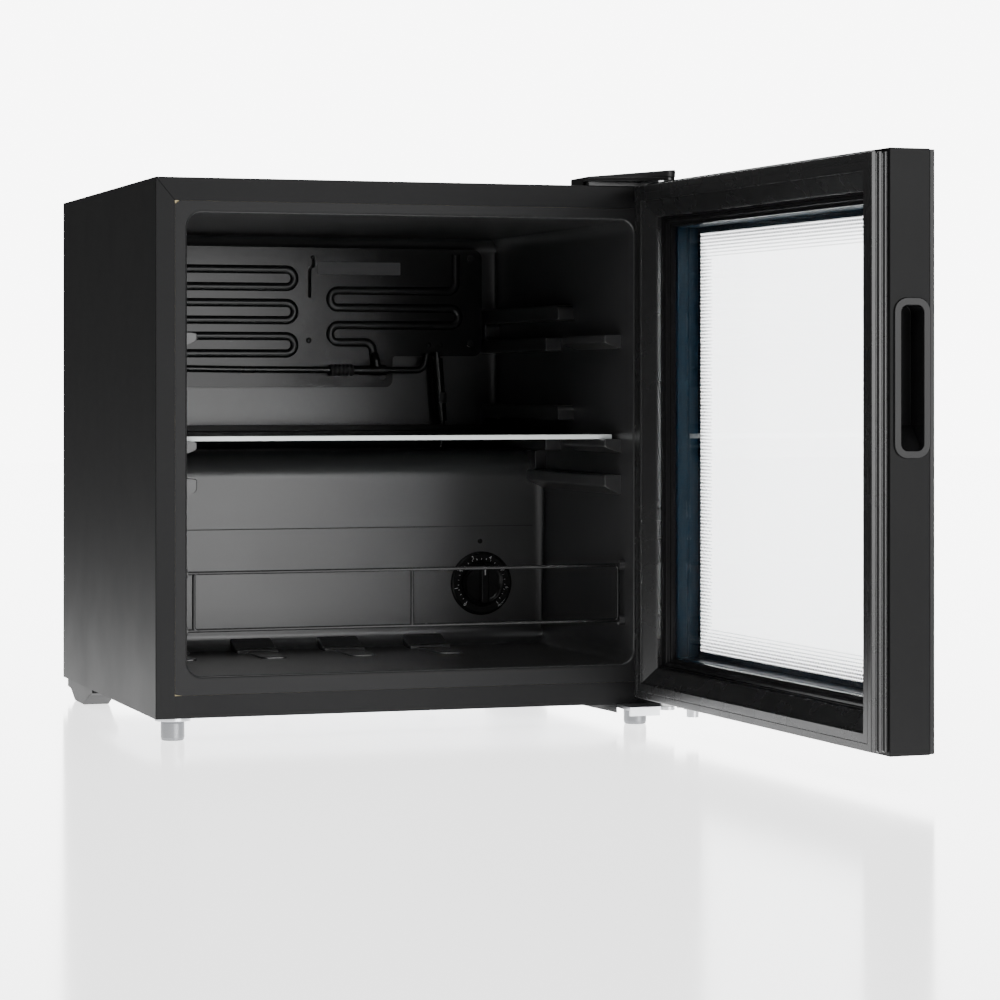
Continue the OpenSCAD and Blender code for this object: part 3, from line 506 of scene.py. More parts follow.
class Palette:
    """Every finish of the cooler, made once and kept."""

    PAINT = FoldedSteel("painted_steel", (0.0100, 0.0100, 0.0103), 0.42, pattern=Pattern.PEEL,
                        grain=420.0, depth=0.02, specular=0.09)
    PLAIN_PAINT = Finish("painted_sheet", (0.0100, 0.0100, 0.0103), 0.42, pattern=Pattern.PEEL,
                         grain=420.0, depth=0.02, specular=0.09)
    # The inside of the liner is painted lighter than its rim, as painted light falling into the cavity;
    # LINER_RIM is the same plastic without that painted light.
    LINER = RolledLiner("liner_plastic", (0.024, 0.024, 0.0245), 0.30, grain=650.0, depth=0.02,
                        cloud=6.0, rough_swing=0.05)
    LINER_RIM = Finish("liner_rim", (0.013, 0.013, 0.0133), 0.36, grain=650.0, depth=0.02,
                       cloud=6.0, rough_swing=0.05, specular=0.10)
    FOAM = Finish("rigid_foam", (0.60, 0.50, 0.28), 0.85, pattern=Pattern.FOAM, grain=500.0,
                  depth=0.5)
    GALVANISED = Finish("galvanised_sheet", (0.46, 0.47, 0.49), 0.36, metal=1.0,
                        pattern=Pattern.SPANGLE, grain=70.0, depth=0.01, cloud_gain=0.3)
    ENAMEL = Finish("black_enamel", (0.0070, 0.0070, 0.0073), 0.26, pattern=Pattern.PEEL,
                    grain=700.0, depth=0.03, specular=0.35)
    EVAPORATOR = Finish("dipped_evaporator", (0.0080, 0.0080, 0.0084), 0.21,
                        pattern=Pattern.PEEL, grain=260.0, depth=0.05, cloud=8.0,
                        specular=0.22)
    MOULDED = Finish("moulded_frame", (0.0065, 0.0065, 0.0067), 0.38, grain=1100.0, depth=0.03,
                     specular=0.08)
    SMOOTH_BLACK = Finish("polished_black", (0.0060, 0.0060, 0.0063), 0.20, grain=900.0,
                          depth=0.01, specular=0.15)
    COVER = Finish("moulded_cover", (0.0085, 0.0085, 0.0088), 0.42, grain=900.0, depth=0.05,
                   specular=0.3)
    RUBBER = Finish("black_rubber", (0.018, 0.018, 0.018), 0.62, grain=700.0, depth=0.06)
    GASKET = Finish("gasket_vinyl", (0.0100, 0.0100, 0.0102), 0.27, grain=500.0, depth=0.03,
                    cloud=30.0, specular=0.42)
    ZINC = Finish("bright_zinc", (0.62, 0.63, 0.65), 0.30, metal=1.0, pattern=Pattern.BRUSHED,
                  grain=1400.0, depth=0.03)
    FOOT = Finish("grey_foot", (0.24, 0.245, 0.255), 0.36, metal=0.7, pattern=Pattern.BRUSHED,
                  grain=1200.0, depth=0.04)
    COPPER = Finish("drawn_copper", (0.72, 0.36, 0.22), 0.30, metal=1.0, grain=120.0,
                    depth=0.02, cloud=40.0, cloud_gain=0.3)
    NYLON = Finish("white_nylon", (0.80, 0.80, 0.79), 0.38, grain=500.0, depth=0.02,
                   cloud_gain=0.05)
    SPACER = Finish("blue_black_spacer", (0.009, 0.036, 0.064), 0.34, grain=1600.0, depth=0.02,
                    specular=0.12)
    FRIT = Finish("fired_ink", (0.008, 0.030, 0.055), 0.16, pattern=Pattern.PEEL, grain=900.0,
                  depth=0.01, cloud=5.0, specular=0.2)
    DOTS = Finish("fired_dots", (0.010, 0.012, 0.016), 0.30, grain=900.0, depth=0.01)
    PRINT = Finish("grey_print", (0.42, 0.42, 0.43), 0.5, grain=900.0, depth=0.01,
                   cloud_gain=0.1)
    PATCH = Finish("plain_patch", (0.045, 0.045, 0.047), 0.50, grain=300.0, depth=0.01)
    # The shelf's front edge is pale partly from its frosted grind and partly as a painted highlight of
    # the light from the front.
    GROUND_EDGE = Finish("ground_edge_highlight", (0.80, 0.84, 0.83), 0.42, grain=800.0, depth=0.05,
                         cloud_gain=0.06)
    PANE = ClearPane("clear_pane", (0.945, 0.955, 0.962))
    SHELF_PANE = ClearPane("shelf_pane", (0.90, 0.955, 0.94))

    BY_SLOT = {
        "painted_steel": PLAIN_PAINT,
        "liner_plastic": LINER,
        "foam": FOAM,
        "galvanised_steel": GALVANISED,
        "black_enamel": ENAMEL,
        "black_plastic": MOULDED,
        "rubber_parts": RUBBER,
        "gasket_vinyl": GASKET,
        "clear_glass": PANE,
        "zinc_plate": ZINC,
        "copper": COPPER,
        "white_nylon": NYLON,
        "spacer_aluminium": SPACER,
    }
    _made: dict[str, bpy.types.Material] = {}

    @classmethod
    def get(cls, finish: "Finish | ClearPane") -> bpy.types.Material:
        """The material of a finish, made the first time that it is asked for.

        Args:
            finish: The finish.

        Returns:
            Its material.
        """
        if finish.name not in cls._made:
            cls._made[finish.name] = finish.make()
        return cls._made[finish.name]


# ---------- Outlines ----------


def rounded(points: Sequence[Point2], radii: "float | Sequence[float]", steps: int = 4) -> list[Point2]:
    """Rounds the corners of a closed outline.

    Args:
        points: The outline's corners in order.
        radii: One radius for all corners, or one for each.
        steps: How many pieces each corner's arc has.

    Returns:
        The rounded outline.
    """
    out: list[Point2] = []
    count = len(points)
    for i in range(count):
        radius = radii if isinstance(radii, (int, float)) else radii[i]
        here = Vector(points[i])
        before = Vector(points[i - 1])
        after = Vector(points[(i + 1) % count])
        out.extend(tuple(p) for p in corner_arc(before, here, after, radius, steps))
    return out


def corner_arc(before: Vector, here: Vector, after: Vector, radius: float, steps: int) -> list[Vector]:
    """The arc that rounds one corner, in a plane or in space.

    Args:
        before: The point before the corner.
        here: The corner.
        after: The point after it.
        radius: The arc's radius.
        steps: How many pieces it has.

    Returns:
        Its points, or the corner alone where nothing is to be rounded.
    """
    a = (before - here).normalized()
    b = (after - here).normalized()
    turn = a.angle(b, math.pi)
    if radius <= 0 or turn > math.radians(179):
        return [here]
    reach = radius / math.tan(turn / 2)
    reach = min(reach, (before - here).length * 0.499, (after - here).length * 0.499)
    radius = reach * math.tan(turn / 2)
    centre = here + (a + b).normalized() * (radius / math.sin(turn / 2))
    start = here + a * reach - centre
    end = here + b * reach - centre
    sweep = start.angle(end)
    out = []
    for k in range(steps + 1):
        t = k / steps
        out.append(
            centre
            + (start * math.sin((1 - t) * sweep) + end * math.sin(t * sweep)) / math.sin(sweep)
        )
    return out


def path(points: Sequence[Point3], radius: float, steps: int = 6) -> list[Vector]:
    """Rounds the corners of an open path in space.

    Args:
        points: The path's corners.
        radius: The radius of every bend.
        steps: How many pieces each bend has.

    Returns:
        The points of the rounded path.
    """
    corners = [Vector(p) for p in points]
    out = [corners[0]]
    for before, here, after in zip(corners, corners[1:], corners[2:]):
        out.extend(corner_arc(before, here, after, radius, steps))
    out.append(corners[-1])
    return out


def rect(x0: float, y0: float, x1: float, y1: float) -> list[Point2]:
    """The four corners of a rectangle."""
    return [(x0, y0), (x1, y0), (x1, y1), (x0, y1)]


def stand(name: str, data: bpy.types.ID) -> bpy.types.Object:
    """Puts an object into the scene.

    Args:
        name: Its name.
        data: The mesh, curve, light or camera that it shows.

    Returns:
        The object.
    """
    thing = bpy.data.objects.new(name, data)
    bpy.context.scene.collection.objects.link(thing)
    return thing


def box_mm(node: str) -> tuple[Vector, Vector]:
    """The lowest and the highest corner of a CAD node, in millimetres."""
    low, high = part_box(node)
    return low / MM, high / MM


# ---------- Forms ----------


class Form:
    """A mesh in the making, in millimetres."""

    def __init__(self, mesh: "bpy.types.Mesh | None" = None) -> None:
        """Starts empty, or from a mesh that is in millimetres.

        Args:
            mesh: The mesh, or None for nothing.
        """
        self.bm = bmesh.new()
        if mesh is not None:
            self.bm.from_mesh(mesh)

    @classmethod
    def of_node(cls, node: str) -> "Form":
        """A merged copy of a CAD node's mesh.

        Args:
            node: The node's name.

        Returns:
            The form, with its loose triangles joined and its flat faces made whole.
        """
        form = cls(frame["nodes"][node].data).scale(1 / MM)
        bm = form.bm
        bmesh.ops.remove_doubles(bm, verts=bm.verts, dist=0.004)
        bmesh.ops.dissolve_degenerate(bm, dist=0.002, edges=bm.edges)
        bmesh.ops.dissolve_limit(
            bm, angle_limit=math.radians(0.6), verts=bm.verts, edges=bm.edges
        )
        return form

    def prism(self, outline: Sequence[Point2], plane: Plane, low: float, high: float) -> "Form":
        """Adds a closed prism.

        Args:
            outline: Its outline.
            plane: The plane of the outline.
            low: Where it starts along the third axis.
            high: Where it ends.

        Returns:
            This form.
        """
        near = [self.bm.verts.new(plane.point(a, b, low)) for a, b in outline]
        far = [self.bm.verts.new(plane.point(a, b, high)) for a, b in outline]
        faces = [self.bm.faces.new(near), self.bm.faces.new(far[::-1])]
        for i in range(len(near)):
            j = (i + 1) % len(near)
            faces.append(self.bm.faces.new((near[j], near[i], far[i], far[j])))
        bmesh.ops.recalc_face_normals(self.bm, faces=faces)
        return self

    def lathe(self, profile: Sequence[Point2], centre: Vector, axis: Plane, count: int = 64) -> "Form":
        """Adds a closed ring or disc turned from a profile.

        Args:
            profile: Radius and height of each point, with radius 0 at a pole.
            centre: The point that height 0 stands on.
            axis: The plane that the turning lies in.
            count: How many steps a turn has.

        Returns:
            This form.
        """
        rings: list[list[bmesh.types.BMVert]] = []
        for radius, height in profile:
            steps = 1 if radius == 0 else count
            rings.append([
                self.bm.verts.new(
                    centre
                    + axis.point(
                        radius * math.cos(math.tau * k / count),
                        radius * math.sin(math.tau * k / count),
                        height,
                    )
                )
                for k in range(steps)
            ])
        faces = []
        closed = profile[0][0] > 0
        pairs = zip(rings, rings[1:] + rings[:1]) if closed else zip(rings, rings[1:])
        for a, b in pairs:
            for k in range(count):
                m = (k + 1) % count
                loop = [a[k % len(a)], a[m % len(a)], b[m % len(b)], b[k % len(b)]]
                loop = list(dict.fromkeys(loop))
                if len(loop) > 2:
                    faces.append(self.bm.faces.new(loop))
        bmesh.ops.recalc_face_normals(self.bm, faces=faces)
        return self

    def tube(
        self,
        points: Sequence[Vector],
        radius: float,
        sides: int = 14,
        flat: float = 1.0,
        closed: bool = False,
    ) -> "Form":
        """Adds a tube along a path.

        Args:
            points: The path.
            radius: The tube's radius.
            sides: How many sides its section has.
            flat: How much the section is flattened along Y.
            closed: Whether the path runs back to its start.

        Returns:
            This form.
        """
        rings: list[list[bmesh.types.BMVert]] = []
        count = len(points)
        up = Vector((0, 1, 0))
        for i, here in enumerate(points):
            after = points[(i + 1) % count] if closed or i < count - 1 else here
            before = points[i - 1] if closed or i > 0 else here
            along = (after - before).normalized()
            up = up - along * up.dot(along)
            if up.length < 0.05:
                up = along.orthogonal()
            up.normalize()
            side = along.cross(up)
            ring = []
            for k in range(sides):
                turn = math.tau * k / sides
                step = side * (math.cos(turn) * radius) + up * (math.sin(turn) * radius)
                step.y *= flat
                ring.append(self.bm.verts.new(here + step))
            rings.append(ring)
        faces = []
        for a, b in zip(rings, rings[1:] + (rings[:1] if closed else [])):
            for k in range(sides):
                m = (k + 1) % sides
                faces.append(self.bm.faces.new((a[k], a[m], b[m], b[k])))
        if not closed:
            faces.append(self.bm.faces.new(rings[0][::-1]))
            faces.append(self.bm.faces.new(rings[-1]))
        bmesh.ops.recalc_face_normals(self.bm, faces=faces)
        return self

    def frame_ring(self, section: Sequence[Point2], low: Vector, high: Vector) -> "Form":
        """Adds a mitred rectangular ring that stands in the door's plane.

        Args:
            section: Distance in from the outline and place along Y of each point.
            low: The outline's lower corner.
            high: Its upper corner.

        Returns:
            This form.
        """
        rings = []
        for u, y in section:
            corners = rect(low.x + u, low.z + u, high.x - u, high.z - u)
            rings.append([self.bm.verts.new((x, y, z)) for x, z in corners])
        faces = []
        for a, b in zip(rings, rings[1:] + rings[:1]):
            for k in range(4):
                m = (k + 1) % 4
                faces.append(self.bm.faces.new((a[k], a[m], b[m], b[k])))
        bmesh.ops.recalc_face_normals(self.bm, faces=faces)
        return self

    def bevel(
        self,
        width: float,
        steps: int = 2,
        angle: float = 30.0,
        where: "Callable[[bmesh.types.BMEdge], bool] | None" = None,
        clamp: bool = True,
    ) -> "Form":
        """Rounds the sharp edges.

        Args:
            width: How far from the edge the rounding starts.
            steps: How many faces it has.
            angle: The least turn between faces, in degrees, that counts as sharp.
            where: A test that picks the edges.
            clamp: Whether the width gives way to small faces.

        Returns:
            This form.
        """
        least = math.radians(angle)
        edges = [
            e
            for e in self.bm.edges
            if len(e.link_faces) == 2
            and e.calc_face_angle(0.0) > least
            and (where is None or where(e))
        ]
        bmesh.ops.bevel(
            self.bm,
            geom=edges,
            offset=width,
            offset_type="OFFSET",
            segments=steps,
            profile=0.5,
            affect="EDGES",
            clamp_overlap=clamp,
        )
        return self

    def cut(self, other: "Form", operation: str = "DIFFERENCE") -> "Form":
        """Cuts this form with another, or keeps what they share.

        Args:
            other: The cutter.
            operation: Blender's name of the operation.

        Returns:
            A new form.
        """
        first = self.loose("cut_target")
        second = other.loose("cut_tool")
        step = first.modifiers.new("cut", "BOOLEAN")
        step.operation = operation
        step.solver = "EXACT"
        step.object = second
        mesh = evaluated_mesh(first)
        for thing in (first, second):
            bpy.data.objects.remove(thing, do_unlink=True)
        form = Form(mesh)
        bmesh.ops.remove_doubles(form.bm, verts=form.bm.verts, dist=0.003)
        bmesh.ops.dissolve_limit(
            form.bm, angle_limit=math.radians(0.4), verts=form.bm.verts, edges=form.bm.edges
        )
        return form

    def join(self, other: "Form") -> "Form":
        """Adds another form to this one.

        Args:
            other: The other form.

        Returns:
            This form.
        """
        mesh = bpy.data.meshes.new("join")
        other.bm.to_mesh(mesh)
        self.bm.from_mesh(mesh)
        bpy.data.meshes.remove(mesh)
        return self

    def scale(self, factor: float) -> "Form":
        """Scales the whole form about the origin."""
        bmesh.ops.scale(self.bm, vec=(factor,) * 3, verts=self.bm.verts)
        return self

    def turn(self, matrix: Matrix) -> "Form":
        """Moves or turns the whole form."""
        bmesh.ops.transform(self.bm, matrix=matrix, verts=self.bm.verts)
        return self

    def mirrored(self) -> "Form":
        """The same form on the other side of the cabinet.

        Returns:
            A new form.
        """
        twin = Form()
        twin.join(self)
        twin.turn(Matrix.Scale(-1, 4, (1, 0, 0)))
        bmesh.ops.reverse_faces(twin.bm, faces=twin.bm.faces)
        return twin

    def loose(self, name: str) -> bpy.types.Object:
        """This form as a scratch object, in millimetres.

        Args:
            name: The object's name.

        Returns:
            The object.
        """
        mesh = bpy.data.meshes.new(name)
        self.bm.to_mesh(mesh)
        return stand(name, mesh)

    def piece(
        self,
        name: str,
        body: str,
        slot: str,
        finish: "Finish | ClearPane | None" = None,
        replaced: Sequence[str] = (),
        smooth: float = 32.0,
        second: "tuple[Finish, Callable[[bmesh.types.BMFace], bool]] | None" = None,
    ) -> bpy.types.Object:
        """Makes the form a finished piece.

        Args:
            name: The piece's name.
            body: The CAD body that it rides on.
            slot: The record's slot that it takes its finish from.
            finish: Its finish, or None for the slot's own.
            replaced: The CAD nodes that it stands for.
            smooth: The turn between faces, in degrees, up to which they look as one.
            second: A second finish, and the test of the faces that have it.

        Returns:
            The piece.
        """
        if second is not None:
            for face in self.bm.faces:
                face.normal_update()
                face.material_index = 1 if second[1](face) else 0
        self.scale(MM)
        mesh = bpy.data.meshes.new(name)
        self.bm.to_mesh(mesh)
        self.bm.free()
        mesh.materials.append(Palette.get(finish or Palette.BY_SLOT[slot]))
        if second is not None:
            mesh.materials.append(Palette.get(second[0]))
        return publish(mesh, name, body, replaced, smooth)


def evaluated_mesh(thing: bpy.types.Object) -> bpy.types.Mesh:
    """A plain mesh of an object with its modifiers applied.

    Args:
        thing: The object.

    Returns:
        The mesh.
    """
    depsgraph = bpy.context.evaluated_depsgraph_get()
    return bpy.data.meshes.new_from_object(
        thing.evaluated_get(depsgraph), preserve_all_data_layers=True, depsgraph=depsgraph
    )


def weighted(mesh: bpy.types.Mesh) -> bpy.types.Mesh:
    """A copy of a mesh whose large flat faces keep their own normals.

    Args:
        mesh: The mesh, with its sharp edges marked.

    Returns:
        The copy.
    """
    thing = stand("weighted", mesh)
    rule = thing.modifiers.new("weights", "WEIGHTED_NORMAL")
    rule.mode = "FACE_AREA"
    rule.weight = 100
    rule.keep_sharp = True
    made = evaluated_mesh(thing)
    bpy.data.objects.remove(thing, do_unlink=True)
    return made


def publish(
    mesh: bpy.types.Mesh,
    name: str,
    body: str,
    replaced: Sequence[str] = (),
    smooth: float = 32.0,
) -> bpy.types.Object:
    """Puts a finished mesh on its body.

    Args:
        mesh: The mesh, in metres and in its place.
        name: The piece's name.
        body: The CAD body that it rides on.
        replaced: The CAD nodes that it stands for.
        smooth: The turn between faces, in degrees, up to which they look as one.

    Returns:
        The piece.
    """
    mesh.polygons.foreach_set("use_smooth", [True] * len(mesh.polygons))
    mesh.set_sharp_from_angle(angle=math.radians(smooth))
    mesh = weighted(mesh)
    mesh.name = name
    thing = stand(name, mesh)
    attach(thing, body)
    if replaced:
        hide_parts(*replaced)
    LOG.info("%s: %d faces on %s", name, len(mesh.polygons), body)
    return thing


def soften(
    node: str,
    width: float,
    finish: "Finish | ClearPane | None" = None,
    name: "str | None" = None,
    steps: int = 2,
    angle: float = 30.0,
    where: "Callable[[bmesh.types.BMEdge], bool] | None" = None,
) -> bpy.types.Object:
    """Stands a copy with rounded edges in for a CAD node.

    Args:
        node: The node.
        width: The width of the rounding, or 0 for none.
        finish: The finish, or None for the slot's own.
        name: The piece's name, or None for the node's name with _made.
        steps: How many faces the rounding has.
        angle: The least turn, in degrees, that is rounded.
        where: A test that picks the edges.

    Returns:
        The piece.
    """
    form = Form.of_node(node)
    if width > 0:
        form.bevel(width, steps, angle, where)
    return form.piece(
        name or node + "_made", BODY_OF[node], SLOT_OF[node], finish, (node,)
    )


def hung() -> Matrix:
    """Turns a closed door, in millimetres, to where it hangs at rest.

    Returns:
        The matrix that does it.
    """
    joint = next(
        row for row in frame["record"]["behaviour"]["joints"] if row["name"] == "door_hinge"
    )
    pin = Vector(joint["pos_m"]) / MM
    return (
        Matrix.Translation(pin) @ Matrix.Rotation(DOOR_OPEN, 4, "Z") @ Matrix.Translation(-pin)
    )


# ---------- Repeats ----------


class Grower:
    """A Geometry Nodes tree that makes a repeated piece, and what runs it."""

    def __init__(self, name: str) -> None:
        """Starts the tree with its output.

        Args:
            name: The tree's name.
        """
        self.name = name
        self.tree = bpy.data.node_groups.new(name, "GeometryNodeTree")
        self.tree.interface.new_socket(
            name="Geometry", in_out="OUTPUT", socket_type="NodeSocketGeometry"
        )
        self.graph = Graph(self.tree)
        self.inputs = self.tree.nodes.new("NodeGroupInput")
        self.values: dict[str, object] = {}

    def given(self, name: str, kind: str, value: object) -> Wire:
        """Declares a named input.

        Args:
            name: The input's name.
            kind: Its socket type, such as NodeSocketFloat.
            value: What the piece sets it to.

        Returns:
            The input, as a wire.
        """
        socket = self.tree.interface.new_socket(name=name, in_out="INPUT", socket_type=kind)
        self.values[socket.identifier] = value
        return Wire(self.graph, Graph.pick(self.inputs.outputs, socket.identifier))

    def number(self, name: str, value: float) -> Wire:
        """Declares an input that is a number."""
        return self.given(name, "NodeSocketFloat", value)

    def count(self, name: str, value: int) -> Wire:
        """Declares an input that is a whole number."""
        return self.given(name, "NodeSocketInt", value)

    def spread(self, points: Wire, shape: Wire, scale: "Wire | None" = None,
               turn: "Wire | None" = None) -> Wire:
        """Puts a shape on every point.

        Args:
            points: The points.
            shape: The shape.
            scale: The scale at each point.
            turn: The rotation at each point.

        Returns:
            The instances.
        """
        values: dict[str, object] = {"Points": points, "Instance": shape}
        if scale is not None:
            values["Scale"] = scale
        if turn is not None:
            values["Rotation"] = turn
        return self.graph.add("GeometryNodeInstanceOnPoints", values=values)

    def close(self, shapes: Wire) -> None:
        """Ends the tree with real faces that have one finish.

        Args:
            shapes: The shapes that it has made.
        """
        finish = self.given("Finish", "NodeSocketMaterial", None)
        real = self.graph.add("GeometryNodeRealizeInstances", values={0: shapes})
        done = self.graph.add(
            "GeometryNodeSetMaterial", values={"Geometry": real, "Material": finish}
        )
        out = self.tree.nodes.new("NodeGroupOutput")
        self.tree.links.new(done.socket, out.inputs[0])

    def grow(self, finish: Finish) -> bpy.types.Mesh:
        """Runs the tree once.

        Args:
            finish: The finish of every shape.

        Returns:
            A plain mesh, in metres.
        """
        holder = stand(self.name, bpy.data.meshes.new(self.name))
        step = holder.modifiers.new("grow", "NODES")
        step.node_group = self.tree
        for item in self.tree.interface.items_tree:
            if item.in_out != "INPUT":
                continue
            if item.name == "Finish":
                step[item.identifier] = Palette.get(finish)
            else:
                step[item.identifier] = self.values[item.identifier]
        mesh = evaluated_mesh(holder)
        bpy.data.objects.remove(holder, do_unlink=True)
        mesh.materials.clear()
        mesh.materials.append(Palette.get(finish))
        mesh.polygons.foreach_set("material_index", [0] * len(mesh.polygons))
        return mesh


def moved(mesh: bpy.types.Mesh, matrix: Matrix) -> bpy.types.Mesh:
    """The same mesh after a move, which is given in metres."""
    mesh.transform(matrix)
    return mesh


@dataclass
class DotField:
    """Fired dots that shrink away from the edge of a pane's clear part."""

    width: float
    height: float
    band: float = 22.0
    pitch: float = 2.8
    large: float = 1.36
    small: float = 0.60
    sides: int = 8

    def mesh(self) -> bpy.types.Mesh:
        """Makes the dots in the XZ plane, round the origin.

        Returns:
            The mesh, in metres.
        """
        maker = Grower("dot_field")
        g = maker.graph
        width = maker.number("Width", self.width * MM)
        height = maker.number("Height", self.height * MM)
        band = maker.number("Band", self.band * MM)
        pitch = maker.number("Pitch", self.pitch * MM)
        large = maker.number("Large Dot", self.large * MM)
        small = maker.number("Small Dot", self.small * MM)
        across = maker.count("Across", int(self.width / self.pitch) + 1)
        down = maker.count("Down", int(self.height / self.pitch) + 1)
        grid = g.add(
            "GeometryNodeMeshGrid",
            values={"Size X": width, "Size Y": height, "Vertices X": across, "Vertices Y": down},
        )
        spot = g.add("GeometryNodeInputPosition")
        x, y, _ = g.split(spot)
        row = ((y + height / 2) / pitch + 0.5).whole()
        shift = (abs(row.rest(2.0)) - 0.5) * pitch * 0.5
        moved_grid = g.add(
            "GeometryNodeSetPosition",
            values={"Geometry": grid, "Offset": g.vector(shift, 0.0, 0.0)},
        )
        inward = (width / 2 - abs(x)).low(height / 2 - abs(y))
        kept = g.add(
            "GeometryNodeDeleteGeometry",
            {"domain": "POINT"},
            {"Geometry": moved_grid, "Selection": inward.over(band)},
        )
        size = large + (small - large) * (inward / band)
        disc = g.add(
            "GeometryNodeMeshCircle", {"fill_type": "NGON"}, {"Vertices": self.sides, "Radius": 1.0}
        )
        maker.close(maker.spread(kept, disc, scale=g.vector(size, size, size)))
        return moved(maker.grow(Palette.DOTS), FACING_FRONT)


@dataclass
class Bars:
    """A row of upright round wires with equal gaps."""

    count: int
    pitch: float
    length: float
    radius: float
    sides: int = 10

    def mesh(self) -> bpy.types.Mesh:
        """Makes the row along X, round the origin.

        Returns:
            The mesh, in metres.
        """
        maker = Grower("wire_row")
        g = maker.graph
        pitch = maker.number("Pitch", self.pitch * MM)
        number = maker.count("Wires", self.count)
        start = (number - 1.0) * pitch * -0.5
        line = g.add(
            "GeometryNodeMeshLine",
            values={
                "Count": number,
                "Start Location": g.vector(start, 0.0, 0.0),
                "Offset": g.vector(pitch, 0.0, 0.0),
            },
        )
        wire = g.add(
            "GeometryNodeMeshCylinder",
            values={
                "Vertices": self.sides,
                "Radius": maker.number("Wire Radius", self.radius * MM),
                "Depth": maker.number("Wire Length", self.length * MM),
            },
        )
        maker.close(maker.spread(line, wire))
        return maker.grow(Palette.ENAMEL)


@dataclass
class RingRow:
    """Round ribs in a row along X, such as those of a ribbed sleeve."""

    count: int
    pitch: float
    radius: float
    rib: float
    finish: Finish
    around: int = 24
    sides: int = 8

    def mesh(self) -> bpy.types.Mesh:
        """Makes the ribs from the origin on.

        Returns:
            The mesh, in metres.
        """
        maker = Grower("rib_row")
        g = maker.graph
        pitch = maker.number("Pitch", self.pitch * MM)
        line = g.add(
            "GeometryNodeMeshLine",
            values={
                "Count": maker.count("Ribs", self.count),
                "Offset": g.vector(pitch, 0.0, 0.0),
            },
        )
        hoop = g.add(
            "GeometryNodeCurvePrimitiveCircle",
            values={"Resolution": self.around, "Radius": maker.number("Rib Radius", self.radius * MM)},
        )
        section = g.add(
            "GeometryNodeCurvePrimitiveCircle",
            values={"Resolution": self.sides, "Radius": maker.number("Rib Height", self.rib * MM)},
        )
        rib = g.add(
            "GeometryNodeCurveToMesh", values={"Curve": hoop, "Profile Curve": section}
        )
        turn = g.vector(0.0, math.radians(90), 0.0)
        maker.close(maker.spread(line, rib, turn=turn))
        return maker.grow(self.finish)


@dataclass
class TickRing:
    """Printed strokes in an arc round a dial, which faces -Y."""

    count: int
    radius: float
    sweep: float
    length: float
    width: float
    thickness: float = 0.1

    def mesh(self) -> bpy.types.Mesh:
        """Makes the strokes round the origin.

        Returns:
            The mesh, in metres.
        """
        maker = Grower("tick_ring")
        g = maker.graph
        number = maker.count("Ticks", self.count)
        sweep = maker.number("Sweep", math.radians(self.sweep))
        radius = maker.number("Radius", self.radius * MM)
        line = g.add("GeometryNodeMeshLine", values={"Count": number})
        place = g.add("GeometryNodeInputIndex")
        angle = (place / (number - 1.0) - 0.5) * sweep
        x = g.add("ShaderNodeMath", {"operation": "SINE"}, {0: angle}) * radius
        z = g.add("ShaderNodeMath", {"operation": "COSINE"}, {0: angle}) * radius
        ring = g.add(
            "GeometryNodeSetPosition",
            values={"Geometry": line, "Position": g.vector(x, 0.0, z)},
        )
        stroke = g.add(
            "GeometryNodeMeshCube",
            values={
                "Size": g.vector(
                    maker.number("Tick Width", self.width * MM),
                    self.thickness * MM,
                    maker.number("Tick Length", self.length * MM),
                )
            },
        )
        maker.close(maker.spread(ring, stroke, turn=g.vector(0.0, angle, 0.0)))
        return maker.grow(Palette.PRINT)


@dataclass
class ScrewSet:
    """Screw heads at points, all facing one way."""

    points: list[Vector]
    radius: float = 3.9
    height: float = 2.0
    facing: Matrix = field(default_factory=Matrix)
    sides: int = 24
    foot: float = 0.25
    dome_steps: int = 5
    recess_reach: float = 0.55
    recess_half: float = 0.11
    recess_floor: float = 0.35

    def head(self) -> bpy.types.Object:
        """One domed head with a cross recess, as a scratch object.

        Returns:
            The object, in metres.
        """
        r, h = self.radius, self.height
        arm, half = r * self.recess_reach, r * self.recess_half
        profile = [(0.0, -1.0), (arm, -1.0), (r, 0.0), (r, h * self.foot)]
        for k in range(1, self.dome_steps):
            turn = math.radians(90 * k / self.dome_steps)
            rise = self.foot + (1 - self.foot) * math.sin(turn)
            profile.append((r * math.cos(turn), h * rise))
        profile.append((0.0, h))
        form = Form().lathe(profile, ORIGIN, Plane.XY, self.sides)
        for a, b in ((arm, half), (half, arm)):
            cutter = Form().prism(rect(-a, -b, a, b), Plane.XY, h * self.recess_floor, h + 1)
            form = form.cut(cutter)
        return form.turn(self.facing).scale(MM).loose("screw_head")

    def mesh(self, finish: Finish) -> bpy.types.Mesh:
        """Makes all the heads.

        Args:
            finish: Their finish.

        Returns:
            The mesh, in metres and in place.
        """
        head = self.head()
        cloud = bpy.data.meshes.new("screw_points")
        cloud.from_pydata([tuple(p * MM) for p in self.points], [], [])
        spots = stand("screw_points", cloud)
        maker = Grower("screw_set")
        g = maker.graph
        shape = g.add(
            "GeometryNodeObjectInfo",
            values={"Object": maker.given("Screw", "NodeSocketObject", head)},
            out="Geometry",
        )
        where = g.add(
            "GeometryNodeObjectInfo",
            values={"Object": maker.given("Places", "NodeSocketObject", spots)},
            out="Geometry",
        )
        points = g.add("GeometryNodeMeshToPoints", values={"Mesh": where})
        maker.close(maker.spread(points, shape))
        mesh = maker.grow(finish)
        for thing in (head, spots):
            bpy.data.objects.remove(thing, do_unlink=True)
        return mesh


# ---------- Cabinet ----------


